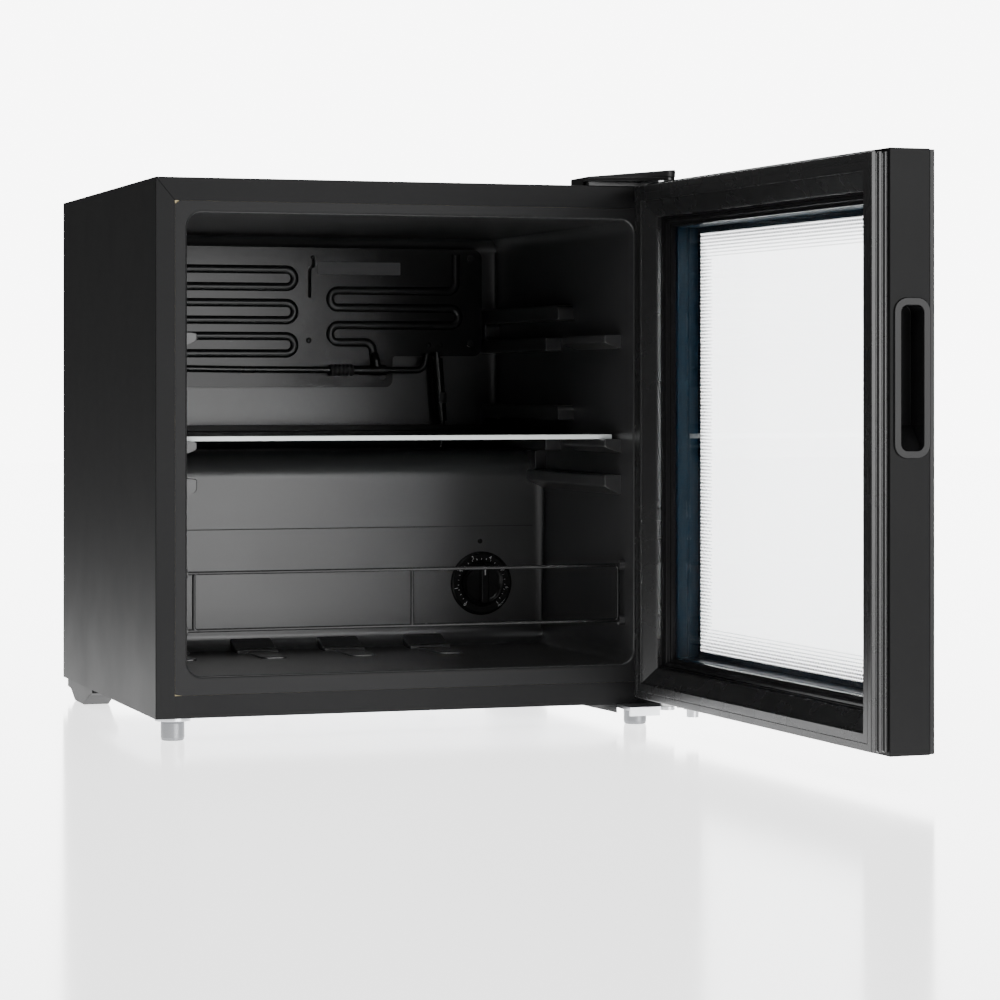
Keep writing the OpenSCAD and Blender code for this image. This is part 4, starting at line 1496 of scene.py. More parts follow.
@dataclass
class Cabinet:
    """The folded steel wrap, the rail under the opening and the plain sheets behind."""

    fold: float = 0.7
    rail_fold: float = 0.35
    half_w: float = 220.0
    front: float = -200.0
    top: float = 459.0
    near: float = 0.01

    def outer_edge(self, edge: bmesh.types.BMEdge) -> bool:
        """Whether an edge is one of the wrap's outer folds.

        Args:
            edge: The edge.

        Returns:
            True where both its ends lie on two outer faces.
        """
        for v in edge.verts:
            walls = (
                (abs(abs(v.co.x) - self.half_w) < self.near)
                + (abs(v.co.y - self.front) < self.near)
                + (abs(v.co.z - self.top) < self.near)
            )
            if walls < 2:
                return False
        return True

    def build(self) -> None:
        """Makes the pieces."""
        soften("outer_shell", self.fold, Palette.PAINT, "steel_wrap", 3, where=self.outer_edge)
        soften("bottom_rail", self.rail_fold, Palette.PAINT, "front_rail", 2)
        for node in ("rear_panel", "base_pan", "insulation", "compressor_plate"):
            dress(node)


def dress(node: str, finish: "Finish | ClearPane | None" = None) -> None:
    """Gives a CAD node that stays its finish.

    Args:
        node: The node.
        finish: The finish, or None for its slot's own.
    """
    thing = frame["nodes"][node]
    material = Palette.get(finish or Palette.BY_SLOT[SLOT_OF[node]])
    thing.data.materials.clear()
    thing.data.materials.append(material)
    LOG.info("%s: kept from the frame", node)


@dataclass
class Liner:
    """The moulded inside with its lip, its guides and the pads on its floor."""

    corner: float = 12.0
    cove: float = 14.0
    hump_round: float = 25.0
    upright_round: float = 9.0
    lip: float = 2.4
    hump_front: float = 35.0
    hump_top: float = 231.0
    inside: tuple[float, float] = (-193.7, 193.7)
    floor: float = 53.0
    ceiling: float = 430.2
    back: float = 170.0
    front: float = -200.0
    flange_out: float = 0.6
    steel_side: float = 204.0
    steel_top: float = 440.0
    rail_top: float = 37.5
    edge: float = 0.5
    turned_in: float = 1.9
    return_depth: float = 4.0
    lip_steps: int = 5
    sunk: float = 2.0
    pad_count: int = 4
    pad_set_in: float = 31.0
    pad_pitch: float = 80.0
    pad_half_w: float = 19.0
    tongue_half_w: float = 11.5
    guide_out: float = 15.0
    rib_front: float = -170.0
    rib_back: float = -61.0
    rib_h: float = 12.5
    slot_floors: tuple[float, float] = (243.4, 333.0)
    slot_h: float = 15.2
    arm_h: float = 13.5
    low_guide: float = 212.5
    low_guide_h: float = 18.0

    def profile(self) -> list[Point2]:
        """The side view of the inside, in Y and Z.

        Returns:
            The rounded outline.
        """
        start = self.front + self.lip
        step = self.hump_front
        corners = [
            (start, self.floor),
            (step, self.floor),
            (step, self.hump_top),
            (self.back, self.hump_top),
            (self.back, self.ceiling),
            (start, self.ceiling),
        ]
        radii = [0, self.cove, self.hump_round, self.cove, self.cove, 0]
        return rounded(corners, radii, 9)

    def cavity(self) -> Form:
        """The inside as a solid, with soft uprights.

        Returns:
            The form.
        """
        left, right = self.inside
        side = Form().prism(self.profile(), Plane.YZ, left - 5, right + 5)
        outline = rounded(
            rect(left, self.floor, right, self.ceiling), self.corner, 9
        )
        face = Form().prism(outline, Plane.XZ, self.front + self.lip, self.back + 20)
        form = side.cut(face, "INTERSECT")

        def upright(edge: bmesh.types.BMEdge) -> bool:
            """Whether an edge runs between a side wall and the hump or the back.

            Args:
                edge: The edge.

            Returns:
                True where it does.
            """
            a, b = (v.co for v in edge.verts)
            on_wall = all(abs(abs(p.x) - right) < 0.05 for p in (a, b))
            inner = min(a.y, b.y) > self.hump_front - 0.5
            low = max(a.z, b.z) < self.ceiling - self.cove + 0.1
            high = min(a.z, b.z) > self.floor + self.cove - 0.1
            return on_wall and inner and low and high

        return form.bevel(self.upright_round, 6, 40.0, upright, clamp=False)

    def outward(self, point: Vector) -> Vector:
        """Which way the lip runs out from a point of the opening.

        Args:
            point: The point.

        Returns:
            A direction of length 1 in the plane of the opening.
        """
        left, right = self.inside
        cx = min(max(point.x, left + self.corner), right - self.corner)
        cz = min(max(point.z, self.floor + self.corner), self.ceiling - self.corner)
        way = Vector((point.x - cx, 0, point.z - cz))
        return way.normalized()

    def on_flange(self, point: Vector, way: Vector) -> Vector:
        """Where the flange ends, from a point of the opening.

        Args:
            point: The point of the opening.
            way: The lip's direction there.

        Returns:
            The point on the flange's outline.
        """
        x_end = self.steel_side - self.flange_out
        low = self.rail_top + self.flange_out
        high = self.steel_top - self.flange_out
        reach = []
        if abs(way.x) > 1e-4:
            reach.append((math.copysign(x_end, way.x) - point.x) / way.x)
        if abs(way.z) > 1e-4:
            reach.append(((high if way.z > 0 else low) - point.z) / way.z)
        return point + way * min(reach)

    def shell(self) -> Form:
        """The skin of the inside, with its rounded lip and its flange.

        Returns:
            The form, open behind the flange.
        """
        form = self.cavity()
        bm = form.bm
        bm.normal_update()
        plane = self.front + self.lip
        caps = [f for f in bm.faces if all(abs(v.co.y - plane) < 0.01 for v in f.verts)]
        bmesh.ops.delete(bm, geom=caps, context="FACES")
        edges = [e for e in bm.edges if e.is_boundary]
        bmesh.ops.reverse_faces(bm, faces=bm.faces)
        start = {v: v.co.copy() for e in edges for v in e.verts}
        stages: list[Callable[[Vector, Vector], Vector]] = []
        for k in range(1, self.lip_steps + 1):
            turn = math.radians(90 * k / self.lip_steps)
            out, up = self.lip * (1 - math.cos(turn)), self.lip * math.sin(turn)
            stages.append(
                lambda p, way, out=out, up=up: p + way * out - Vector((0, up, 0))
            )

        def end(y: float, more: float) -> Callable[[Vector, Vector], Vector]:
            """A stage at the flange's outline, at a depth and a step further out.

            Args:
                y: The depth.
                more: The step.

            Returns:
                What places a point there.
            """
            def place(p: Vector, way: Vector) -> Vector:
                """The point at that stage.

                Args:
                    p: Where it starts on the opening.
                    way: The lip's direction there.

                Returns:
                    Its place.
                """
                q = self.on_flange(p, way)
                return Vector((q.x + math.copysign(more, q.x), y, q.z + math.copysign(
                    more, q.z - (self.floor + self.ceiling) / 2)))
            return place

        behind = self.front + self.turned_in
        stages += [end(self.front, -self.edge), end(self.front + self.edge, 0.0),
                   end(behind, 0.0), end(behind, self.return_depth)]
        for stage in stages:
            grown = bmesh.ops.extrude_edge_only(bm, edges=edges)["geom"]
            fresh = {v for v in grown if isinstance(v, bmesh.types.BMVert)}
            edges = [
                e for e in grown
                if isinstance(e, bmesh.types.BMEdge) and all(v in fresh for v in e.verts)
            ]
            origin = {}
            for v in fresh:
                old = next(e.other_vert(v) for e in v.link_edges if e.other_vert(v) in start)
                origin[v] = start[old]
            for v, p in origin.items():
                v.co = stage(p, self.outward(p))
            start = origin
        bmesh.ops.recalc_face_normals(bm, faces=bm.faces)
        probe = min(bm.faces, key=lambda f: abs(f.calc_center_median().z - self.floor)
                    + abs(f.calc_center_median().y + 100) * 0.01)
        if probe.normal.z < 0:
            bmesh.ops.reverse_faces(bm, faces=bm.faces)
        return form

    def pads(self) -> Form:
        """The raised pads against the hump and the tongues in front of them.

        Returns:
            The form.
        """
        form = Form()
        for k in range(self.pad_count):
            form.join(self.pad(self.inside[0] + self.pad_set_in + self.pad_pitch * k))
        return form

    def pad(self, x: float) -> Form:
        """One pad with its tongue.

        Args:
            x: Its middle.

        Returns:
            The form.
        """
        y, floor, root = self.hump_front, self.floor, self.floor - self.sunk
        side = rounded(
            [(y - 30, root), (y + 4, root), (y + 4, floor + 12), (y - 6, floor + 9),
             (y - 20, floor + 3.2), (y - 28, floor + 2.8)],
            [0, 0, 0, 6, 8, 1.5], 4)
        half = self.pad_half_w
        pad = Form().prism(side, Plane.YZ, x - half, x + half).bevel(1.6, 3, 40)
        half = self.tongue_half_w
        tongue = rounded(rect(x - half, y - 90, x + half, y - 24), 5.0, 5)
        pad.join(Form().prism(tongue, Plane.XY, root, floor + 1.4).bevel(0.8, 2, 60))
        return pad

    def rib(self, y0: float, y1: float, z: float, height: float) -> Form:
        """A guide rib on the left wall, cut away underneath.

        Args:
            y0: Its front end.
            y1: Its rear end.
            z: Its top.
            height: Its height at the wall.

        Returns:
            The form.
        """
        x = self.inside[0]
        root, out = x - self.sunk, x + self.guide_out
        outline = [(root, z), (out, z), (out, z - height * 0.55), (root, z - height)]
        return Form().prism(rounded(outline, [0, 1.4, 2.5, 0], 3), Plane.XZ, y0, y1).bevel(
            1.0, 3, 50, lambda e: all(v.co.x > x + 0.5 for v in e.verts))

    def yoke(self, z: float) -> Form:
        """The rear guide: two arms joined round the shelf's slot.

        Args:
            z: The slot's floor.

        Returns:
            The form.
        """
        x, rear, bottom = self.inside[0], self.back + 4, z - self.rib_h
        roof = z + self.slot_h
        top = roof + self.arm_h
        outline = rounded(
            [(-17, bottom), (rear, bottom), (rear, top), (-51, top), (-51, roof), (158, roof),
             (158, z), (-17, z)],
            [1.5, 0, 0, 6, 1.5, 4, 4, 1.0], 5)
        return Form().prism(outline, Plane.YZ, x - self.sunk, x + self.guide_out).bevel(
            1.2, 3, 50, lambda e: all(v.co.x > x + 1 for v in e.verts))

    def guides(self) -> Form:
        """All the guides of the left wall.

        Returns:
            The form.
        """
        form = Form()
        for z in self.slot_floors:
            form.join(self.rib(self.rib_front, self.rib_back, z, self.rib_h))
            form.join(self.yoke(z))
        form.join(self.rib(self.rib_front, self.hump_front + self.sunk, self.low_guide,
                           self.low_guide_h))
        x = self.inside[0]
        block = Form().prism(rounded(rect(x - 2, 206, x + 11, 230.4), [0, 2, 2, 0], 3),
                             Plane.XZ, 24, 52)
        return form.join(block.bevel(1.0, 2, 50))

    def build(self) -> None:
        """Makes the pieces."""
        shell = self.shell()
        shell.join(self.pads())

        def rim(face: bmesh.types.BMFace) -> bool:
            """Whether a face is part of the flange."""
            return face.calc_center_median().y < self.front + 0.3

        # The inside takes the copy of the plastic that is painted lighter as painted light; the flange
        # takes the darker rim copy.
        shell.piece("liner_moulding", "cabinet", "liner_plastic", Palette.LINER,
                    ("inner_liner",), 30.0, (Palette.LINER_RIM, rim))
        guides = self.guides()
        guides.join(guides.mirrored())
        guides.piece("moulded_guides", "cabinet", "liner_plastic", Palette.LINER,
                     ("shelf_guides",), 35.0)
        soften("guard_cups", 0.4, Palette.LINER)


@dataclass
class Evaporator:
    """The roll-bonded plate at the back, its channels, fixings and pipes."""

    thickness: float = 1.6
    corner: float = 9.0
    channel: float = 4.0
    channel_rise: float = 0.66
    pitch: float = 16.3
    loop_pitch: float = 31.2
    loops: int = 3
    loops_down: float = 21.0
    loops_right: float = -8.8
    step_in: float = 89.0
    step_up: float = 29.5
    pipe: float = 3.2
    collar: float = 4.4

    def plate(self) -> Form:
        """The plate with its stepped lower edge and its slot.

        Returns:
            The form, without its channels.
        """
        low, high = box_mm("evaporator_plate")
        face = high.y - self.thickness
        step_x, step_z = high.x - self.step_in, low.z + self.step_up
        outline = rounded(
            [(low.x, low.z), (step_x, low.z), (step_x, step_z), (high.x, step_z),
             (high.x, high.z), (low.x, high.z)],
            [self.corner, 7.0, 3.0, self.corner, self.corner, self.corner], 6)
        form = Form().prism(outline, Plane.XZ, face, high.y)
        slot = rounded(
            [(4.3, 372), (7.7, 372), (7.7, 399), (11.5, 401), (11.5, 408), (8, 408),
             (8, 403.5), (4.3, 401)], 1.2, 3)
        form = form.cut(Form().prism(slot, Plane.XZ, face - 2, high.y + 2))
        return form.bevel(0.45, 2, 50)

    def build(self) -> None:
        """Makes the pieces."""
        low, high = box_mm("evaporator_plate")
        face = high.y - self.thickness
        form = self.plate()
        left, right, bend = low.x + 12, self.loops_right, self.pitch / 2
        corners = []
        for i in range(self.loops):
            z = high.z - self.loops_down - i * self.loop_pitch
            corners += [(left, face, z), (right, face, z), (right, face, z - self.pitch),
                        (left, face, z - self.pitch)]
        form.tube(path(corners, bend * 0.96), self.channel, 16, self.channel_rise)
        z = high.z - 40
        corners = [(150, face, z + 35), (150, face, z), (26, face, z), (26, face, z - self.pitch),
                   (153, face, z - self.pitch), (153, face, z - 2 * self.pitch),
                   (26, face, z - 2 * self.pitch), (26, face, z - 3 * self.pitch),
                   (67, face, z - 3 * self.pitch), (69, face, low.z + 24),
                   (69, face - 5, low.z + 18)]
        form.tube(path(corners, bend * 0.96), self.channel, 16, self.channel_rise)
        for x, zz, r in ((5, 332, 2.6), (123, 328, 2.4), (135, 328, 2.4), (9, 410, 2.0)):
            dome = [(0.0, -0.5), (r, -0.5), (r, 0.3), (r * 0.7, 1.1), (0.0, 1.5)]
            knob = Form().lathe(dome, ORIGIN, Plane.XY, 20)
            knob.turn(Matrix.Translation((x, face, zz)) @ FACING_FRONT)
            form.join(knob)
        form.piece("evaporator_sheet", "cabinet", "black_enamel", Palette.EVAPORATOR,
                   ("evaporator_plate",), 40.0)
        patch = Form().prism(rounded(rect(14, 394, 95, 406), 1.0, 3), Plane.XZ,
                             face - 0.25, face + 0.1)
        patch.bevel(0.1, 1, 50).piece("evaporator_patch", "cabinet", "black_plastic",
                                      Palette.PATCH)
        soften("evaporator_posts", 0.3, Palette.ENAMEL)
        self.pipes(face)

    def pipes(self, face: float) -> None:
        """Makes the tail, its sleeve and the suction line.

        Args:
            face: Where the front of the plate is, along Y.
        """
        low, high = box_mm("evaporator_tail")
        r = self.pipe
        y, z = (low.y + high.y) / 2, low.z + r
        sleeve_low, sleeve_high = box_mm("tail_sleeve")
        end = high.x - r
        tail = Form().tube(path([(low.x, y, z + 2), (-60, y, z + 0.5), (end, y, z),
                                 (end + 3, y, z + 16)], 9.0, 8), r)
        tail.tube(path([(sleeve_high.x - 2, y, z), (sleeve_high.x + 22, y, z)], 1), self.collar,
                  20)
        tail.tube(path([(66, y, z), (78, y, z)], 1), 5.0, 20)
        tail.tube(path([(71, y, z), (69, y, z + 10), (69, face - 2, z + 15)], 5.0), 3.6, 14)
        tail.piece("evaporator_pipe", "cabinet", "black_enamel", Palette.ENAMEL,
                   ("evaporator_tail",), 50.0)
        ribs = RingRow(6, 4.0, self.collar, 1.3, Palette.RUBBER).mesh()
        moved(ribs, Matrix.Translation(Vector((sleeve_low.x + 1, y, z)) * MM))
        core = Form().tube([Vector((sleeve_low.x, y, z)), Vector((sleeve_high.x, y, z))],
                           self.collar, 20)
        core.scale(MM)
        core.bm.from_mesh(ribs)
        core.scale(1 / MM)
        core.piece("ribbed_sleeve", "cabinet", "black_enamel", Palette.RUBBER, ("tail_sleeve",),
                   50.0)
        low, high = box_mm("suction_line")
        sx, sy, sz = high.x - r, high.y - r, low.z + r
        run = path([(128.5, sy, high.z), (sx + 0.8, sy, 262), (sx, sy, 231), (sx, sy, sz),
                    (low.x, sy, sz)], 12.0, 8)
        pipe = Form().tube(run, r)
        pipe.tube(path([(128.9, sy, high.z - 6), (sx + 0.6, sy, 256)], 1), 5.2, 18)
        pipe.piece("suction_pipe", "cabinet", "black_enamel", Palette.ENAMEL, ("suction_line",),
                   50.0)
        soften("suction_clip", 0.4, Palette.RUBBER)


@dataclass
class Thermostat:
    """The dial on the front of the hump."""

    centre: Vector = field(default_factory=lambda: Vector((134.3, 35.0, 108.7)))
    radius: float = 29.0
    knob: float = 19.0
    sweep: float = 280.0
    ticks: int = 25
    tick_ring: float = 22.3
    digits: int = 8
    digit_ring: float = 24.6
    digit_size: float = 4.2
    print_out: float = 1.9
    mark_at: Point3 = (-1.0, 0.0, 38.5)
    grip_half: float = 3.6
    grip_low: float = 4.0
    grip_high: float = 12.8

    def place(self) -> Matrix:
        """Turns a form that faces +Z so that it faces out of the dial."""
        return Matrix.Translation(self.centre) @ FACING_FRONT

    def build(self) -> None:
        """Makes the pieces."""
        r, k = self.radius, self.knob + 0.8
        rim = [(5.2, 0.0), (r, 0.0), (r, 1.2), (r - 0.9, 2.3), (r - 1.8, 2.5), (r - 2.6, 1.9),
               (k + 1.6, 1.9), (k + 0.9, 2.5), (k + 0.2, 2.3), (k, 1.6), (k - 0.2, 1.0), (5.2, 1.0)]
        ring = Form().lathe(rim, ORIGIN, Plane.XY, 96)
        ring.turn(self.place())
        ring.piece("dial_ring", "cabinet", "black_plastic", Palette.SMOOTH_BLACK,
                   ("thermostat_ring",), 24.0)
        ticks = TickRing(self.ticks, self.tick_ring, self.sweep, 1.3, 0.45).mesh()
        moved(ticks, Matrix.Translation((self.centre - Vector((0, self.print_out, 0))) * MM))
        printed = Form(ticks).scale(1 / MM)
        for i in range(self.digits):
            turn = self.sweep * (i / (self.digits - 1) - 0.5)
            printed.join(self.digit(str(i), math.radians(turn)))
        printed.piece("dial_scale", "cabinet", "white_nylon", Palette.PRINT)
        self.knob_piece()
        dress("thermostat_body", Palette.GALVANISED)
        soften("thermostat_shaft", 0.2, Palette.ZINC)
        mark = [(0.0, 0.0), (2.2, 0.0), (2.2, 0.5), (1.4, 1.1), (0.0, 1.2)]
        spot = Form().lathe(mark, ORIGIN, Plane.XY, 24)
        spot.turn(Matrix.Translation(self.centre + Vector(self.mark_at)) @ FACING_FRONT)
        spot.piece("dial_pointer", "cabinet", "black_plastic", Palette.SMOOTH_BLACK)

    def digit(self, text: str, angle: float) -> Form:
        """A printed number on the dial.

        Args:
            text: The number.
            angle: Its angle from the top of the dial.

        Returns:
            The form.
        """
        curve = bpy.data.curves.new("digit", "FONT")
        curve.body = text
        curve.size = self.digit_size
        curve.extrude = 0.05
        curve.align_x = "CENTER"
        curve.align_y = "CENTER"
        thing = stand("digit", curve)
        form = Form(evaluated_mesh(thing))
        bpy.data.objects.remove(thing, do_unlink=True)
        r, out = self.digit_ring, self.print_out + 0.05
        spot = self.centre + Vector((r * math.sin(angle), -out, r * math.cos(angle)))
        form.turn(Matrix.Translation(spot) @ Matrix.Rotation(angle, 4, "Y") @ FACING_FRONT)
        return form

    def knob_piece(self) -> None:
        """Makes the knob: a dished disc with a grip bar across it."""
        r, half = self.knob, self.grip_half
        dish = [(0.0, 2.0), (r - 0.8, 2.0), (r, 2.8), (r, 5.4), (r - 0.8, 6.2), (r - 2.2, 6.0),
                (r - 3.4, 5.2), (0.0, 4.6)]
        disc = Form().lathe(dish, ORIGIN, Plane.XY, 72)
        grip = Form().prism(rounded(rect(-half, -r * 0.94, half, r * 0.94), 2.4, 5), Plane.XY,
                            self.grip_low, self.grip_high)
        grip.bevel(1.1, 3, 50)
        mark = Form().prism(rounded(rect(-0.5, r * 0.42, 0.5, r * 0.86), 0.3, 2), Plane.XY,
                            self.grip_high - 0.1, self.grip_high + 0.15)
        disc.join(grip)
        disc.turn(self.place())
        disc.piece("dial_knob", "knob", "black_plastic", Palette.SMOOTH_BLACK,
                   ("thermostat_knob",), 30.0)
        mark.turn(self.place())
        mark.piece("dial_mark", "knob", "white_nylon", Palette.PRINT)


@dataclass
class Shelf:
    """The glass shelf with its rear bar, and the bottle guard in front."""

    guard_y: float = -177.0
    guard_low: float = 88.3
    guard_high: float = 135.5
    upright_x: float = 4.0
    wire: float = 1.5
    ground_depth: float = 0.7
    cap: float = 6.0

    def build(self) -> None:
        """Makes the pieces."""
        edge = box_mm("shelf_glass")[0].y + self.ground_depth

        def ground(face: bmesh.types.BMFace) -> bool:
            """Whether a face is part of the front edge, which is pale partly from its frosted grind and
            partly as a painted highlight of the front light.
            """
            return face.calc_center_median().y < edge

        form = Form.of_node("shelf_glass").bevel(0.6, 2, 60)
        form.piece("shelf_pane", "shelf", "clear_glass", Palette.SHELF_PANE, ("shelf_glass",),
                   30.0, (Palette.GROUND_EDGE, ground))
        self.rear_bar()
        self.guard()

    def rear_bar(self) -> None:
        """Makes the bar along the shelf's rear edge, with its end caps."""
        low, high = box_mm("shelf_rear_bar")
        bar = Form.of_node("shelf_rear_bar").bevel(0.5, 2, 60)
        for x in (low.x, high.x - self.cap):
            cap = Form().prism(rounded(rect(low.y - 0.6, low.z + 4.1, high.y + 0.4, high.z + 0.5),
                                       1.2, 3), Plane.YZ, x, x + self.cap)
            bar.join(cap.bevel(0.4, 2, 60))
        bar.piece("shelf_bar", "shelf", "black_plastic", Palette.MOULDED, ("shelf_rear_bar",))

    def guard(self) -> None:
        """Makes the guard: one bent loop, a middle upright and four pegs."""
        low, high = box_mm("bottle_guard")
        y, z0, z1 = self.guard_y, self.guard_low, self.guard_high
        x0, x1 = low.x + 9.0, high.x - 4.0
        loop = [(x0, y, z0), (x1, y, z0), (x1, y, z1), (x0, y, z1)]
        points = rounded([(p[0], p[2]) for p in loop], 3.0, 5)
        form = Form().tube([Vector((x, y, z)) for x, z in points], self.wire, 12, closed=True)
        x = self.upright_x
        form.tube([Vector((x, y, z0)), Vector((x, y, z1))], self.wire, 12)
        for z in (z0, z1):
            form.tube([Vector((low.x, y, z)), Vector((x0 + 4, y, z))], self.wire, 12)
            form.tube([Vector((x1 - 4, y, z)), Vector((high.x, y, z))], self.wire, 12)
        form.piece("guard_wire", "cabinet", "black_enamel", Palette.ENAMEL, ("bottle_guard",),
                   50.0)


@dataclass
class Feet:
    """The two screwed feet in front and the two skids behind."""

    stud: float = 4.0
    head: float = 15.6

    def build(self) -> None:
        """Makes the pieces."""
        for node, body in (("front_left_foot", "left_foot"), ("front_right_foot", "right_foot")):
            low, high = box_mm(node)
            centre = Vector(((low.x + high.x) / 2, (low.y + high.y) / 2, 0))
            r, stud, head = (high.x - low.x) / 2, self.stud, self.head
            profile = [(0.0, 0.0), (r - 1.3, 0.0), (r - 0.5, 0.5), (r - 0.3, 2.0), (r, 2.4),
                       (r, head - 1.4), (r - 0.4, head - 0.6), (r - 1.2, head), (stud, head),
                       (stud, high.z - 0.5), (stud - 0.5, high.z), (0.0, high.z)]
            foot = Form().lathe(profile, centre, Plane.XY, 48)
            foot.piece(node + "_turned", body, "zinc_plate", Palette.FOOT, (node,), 24.0)
        soften("foot_plate", 0.4, Palette.ZINC)
        soften("rear_skids", 1.2, Palette.MOULDED, steps=3)


@dataclass
class Cooling:
    """The compressor in its bay and the condenser on the back."""

    tube: float = 2.4
    bend: float = 12.0
    leg_gap: float = 32.0
    row_margin: float = 8.0
    wire_pitch: float = 10.0
    back: float = 200.0
    screw_x: float = 206.0
    screw_top: float = 447.0
    screw_middle: float = 330.0
    screw_low: float = 215.0
    screw_r: float = 4.0
    screw_h: float = 2.0
    coil: float = 18.0
    coil_pitch: float = 3.0
    capillary: float = 1.0

    def build(self) -> None:
        """Makes the pieces."""
        soften("compressor_shell", 0.5, Palette.ENAMEL)
        soften("compressor_feet", 0.6, Palette.ENAMEL)
        soften("compressor_grommets", 0.8, Palette.RUBBER)
        soften("compressor_bolts", 0.4, Palette.ZINC)
        soften("relay_cover", 1.5, Palette.COVER, steps=3)
        soften("cord_bush", 0.5, Palette.RUBBER)
        soften("condenser_brackets", 0.5, Palette.MOULDED)
        self.drier()
        self.condenser()
        self.discharge()
        side, y = self.screw_x, self.back
        heads = []
        for x in (-side, 0.0, side):
            heads += [Vector((x, y, z)) for z in (self.screw_top, self.screw_low)]
        heads += [Vector((x, y, self.screw_middle)) for x in (-side, side)]
        facing = Matrix.Rotation(math.radians(-90), 4, "X")
        mesh = ScrewSet(heads, self.screw_r, self.screw_h, facing).mesh(Palette.ZINC)
        publish(mesh, "back_screws", "cabinet", ("rear_screws",), 30.0)

    def condenser(self) -> None:
        """Makes the serpentine tube and the wires across it."""
        low, high = box_mm("condenser_tube")
        y = (low.y + high.y) / 2
        top = high.z - self.tube
        right, left = high.x - self.leg_gap - self.tube, low.x + self.bend + self.tube
        leg = high.x - self.tube
        pitch = 2 * self.bend
        rows = round((top - box_mm("condenser_wires")[0].z - self.row_margin) / pitch) + 1
        corners = [(leg, y, low.z), (leg, y, top)]
        for i in range(rows):
            z = top - i * pitch
            ends = (right + self.bend, left - self.bend)
            first, last = ends if i % 2 == 0 else ends[::-1]
            if i > 0:
                corners.append((first, y, z))
            corners.append((left if i == rows - 1 else last, y, z))
        Form().tube(path(corners, self.bend * 0.98, 8), self.tube, 14).piece(
            "condenser_coil", "cabinet", "black_enamel", Palette.ENAMEL, ("condenser_tube",),
            50.0)
        low, high = box_mm("condenser_wires")
        r = (high.y - low.y) / 2
        count = round((high.x - low.x - 2 * r) / self.wire_pitch) + 1
        mesh = Bars(count, self.wire_pitch, high.z - low.z, r).mesh()
        moved(mesh, Matrix.Translation((low + high) / 2 * MM))
        publish(mesh, "condenser_grid", "cabinet", ("condenser_wires",), 50.0)

    def discharge(self) -> None:
        """Makes the copper line from the compressor to the condenser."""
        low, high = box_mm("discharge_line")
        r = self.tube
        x0, x1 = low.x + r, high.x - r
        y0, y1 = low.y + r, high.y - r if high.y < 216 else 218.0
        z = high.z - 6.0
        run = path([(x1, y1, high.z), (x1, y1, z), (x1, y0, z), (x0, y0, z), (x0, y0, low.z)],
                   6.0, 6)
        Form().tube(run, r, 14).piece("discharge_pipe", "cabinet", "copper", Palette.COPPER,
                                      ("discharge_line",), 50.0)
        low, high = box_mm("capillary_tube")
        cx, cy = (low.x + high.x) / 2, (low.y + high.y) / 2
        turns, steps, wide = 4, 20, self.coil
        coil = []
        for k in range(turns * steps + 1):
            turn = math.tau * k / steps
            rise = low.z + self.capillary + self.coil_pitch * k / steps
            coil.append(Vector((cx + wide * math.cos(turn), cy + wide * math.sin(turn), rise)))
        coil += [Vector((cx + wide / 2, cy, coil[-1].z + 1)), Vector((cx, cy, coil[-1].z + 4)),
                 Vector((cx, cy, high.z))]
        Form().tube(coil, self.capillary, 8).piece("capillary_coil", "cabinet", "copper", Palette.COPPER,
                                        ("capillary_tube",), 60.0)

    def drier(self) -> None:
        """Makes the drier, whose ends are spun down to its pipes."""
        low, high = box_mm("filter_drier")
        centre = Vector(((low.x + high.x) / 2, (low.y + high.y) / 2, 0))
        r = (high.x - low.x) / 2
        z0, z1 = low.z + 10, high.z - 10
        profile = [(0.0, low.z), (3.0, low.z), (3.0, z0 - 1), (r * 0.7, z0 + 2), (r, z0 + 8),
                   (r, z1 - 8), (r * 0.7, z1 - 2), (3.0, z1 + 1), (3.0, high.z), (0.0, high.z)]
        Form().lathe(profile, centre, Plane.XY, 32).piece(
            "spun_drier", "cabinet", "copper", Palette.COPPER, ("filter_drier",), 40.0)


@dataclass
class Hinges:
    """The two hinges, their screws and the cover over the upper one."""

    upper_screws: tuple[Point2, ...] = ((164.0, -174.0), (184.0, -174.0), (206.0, -170.0))
    lower_screws: tuple[Point2, ...] = ((188.0, -166.0), (208.0, -163.0))
    head_r: float = 3.8
    upper_head: float = 1.6
    lower_head: float = 1.8

    def build(self) -> None:
        """Makes the pieces."""
        soften("top_hinge_bracket", 0.4, Palette.ENAMEL)
        soften("top_hinge_cover", 0.9, Palette.COVER, "hinge_cover", 3)
        soften("top_hinge_pin", 0.5, Palette.NYLON)
        soften("bottom_hinge_bracket", 0.5, Palette.ZINC)
        soften("bottom_hinge_gusset", 0.3, Palette.ENAMEL)
        soften("bottom_hinge_pin", 0.4, Palette.ZINC)
        soften("hinge_washer", 0.3, Palette.NYLON)
        top = box_mm("top_hinge_screws")[1].z - self.upper_head
        upper = [Vector((x, y, top)) for x, y in self.upper_screws]
        publish(ScrewSet(upper, self.head_r, self.upper_head).mesh(Palette.ZINC),
                "upper_hinge_screws", "cabinet", ("top_hinge_screws",), 30.0)
        bottom = box_mm("bottom_hinge_screws")[0].z + self.lower_head
        under = [Vector((x, y, bottom)) for x, y in self.lower_screws]
        facing = Matrix.Rotation(math.radians(180), 4, "X")
        publish(ScrewSet(under, self.head_r, self.lower_head, facing).mesh(Palette.ZINC),
                "lower_hinge_screws", "cabinet", ("bottom_hinge_screws",), 30.0)


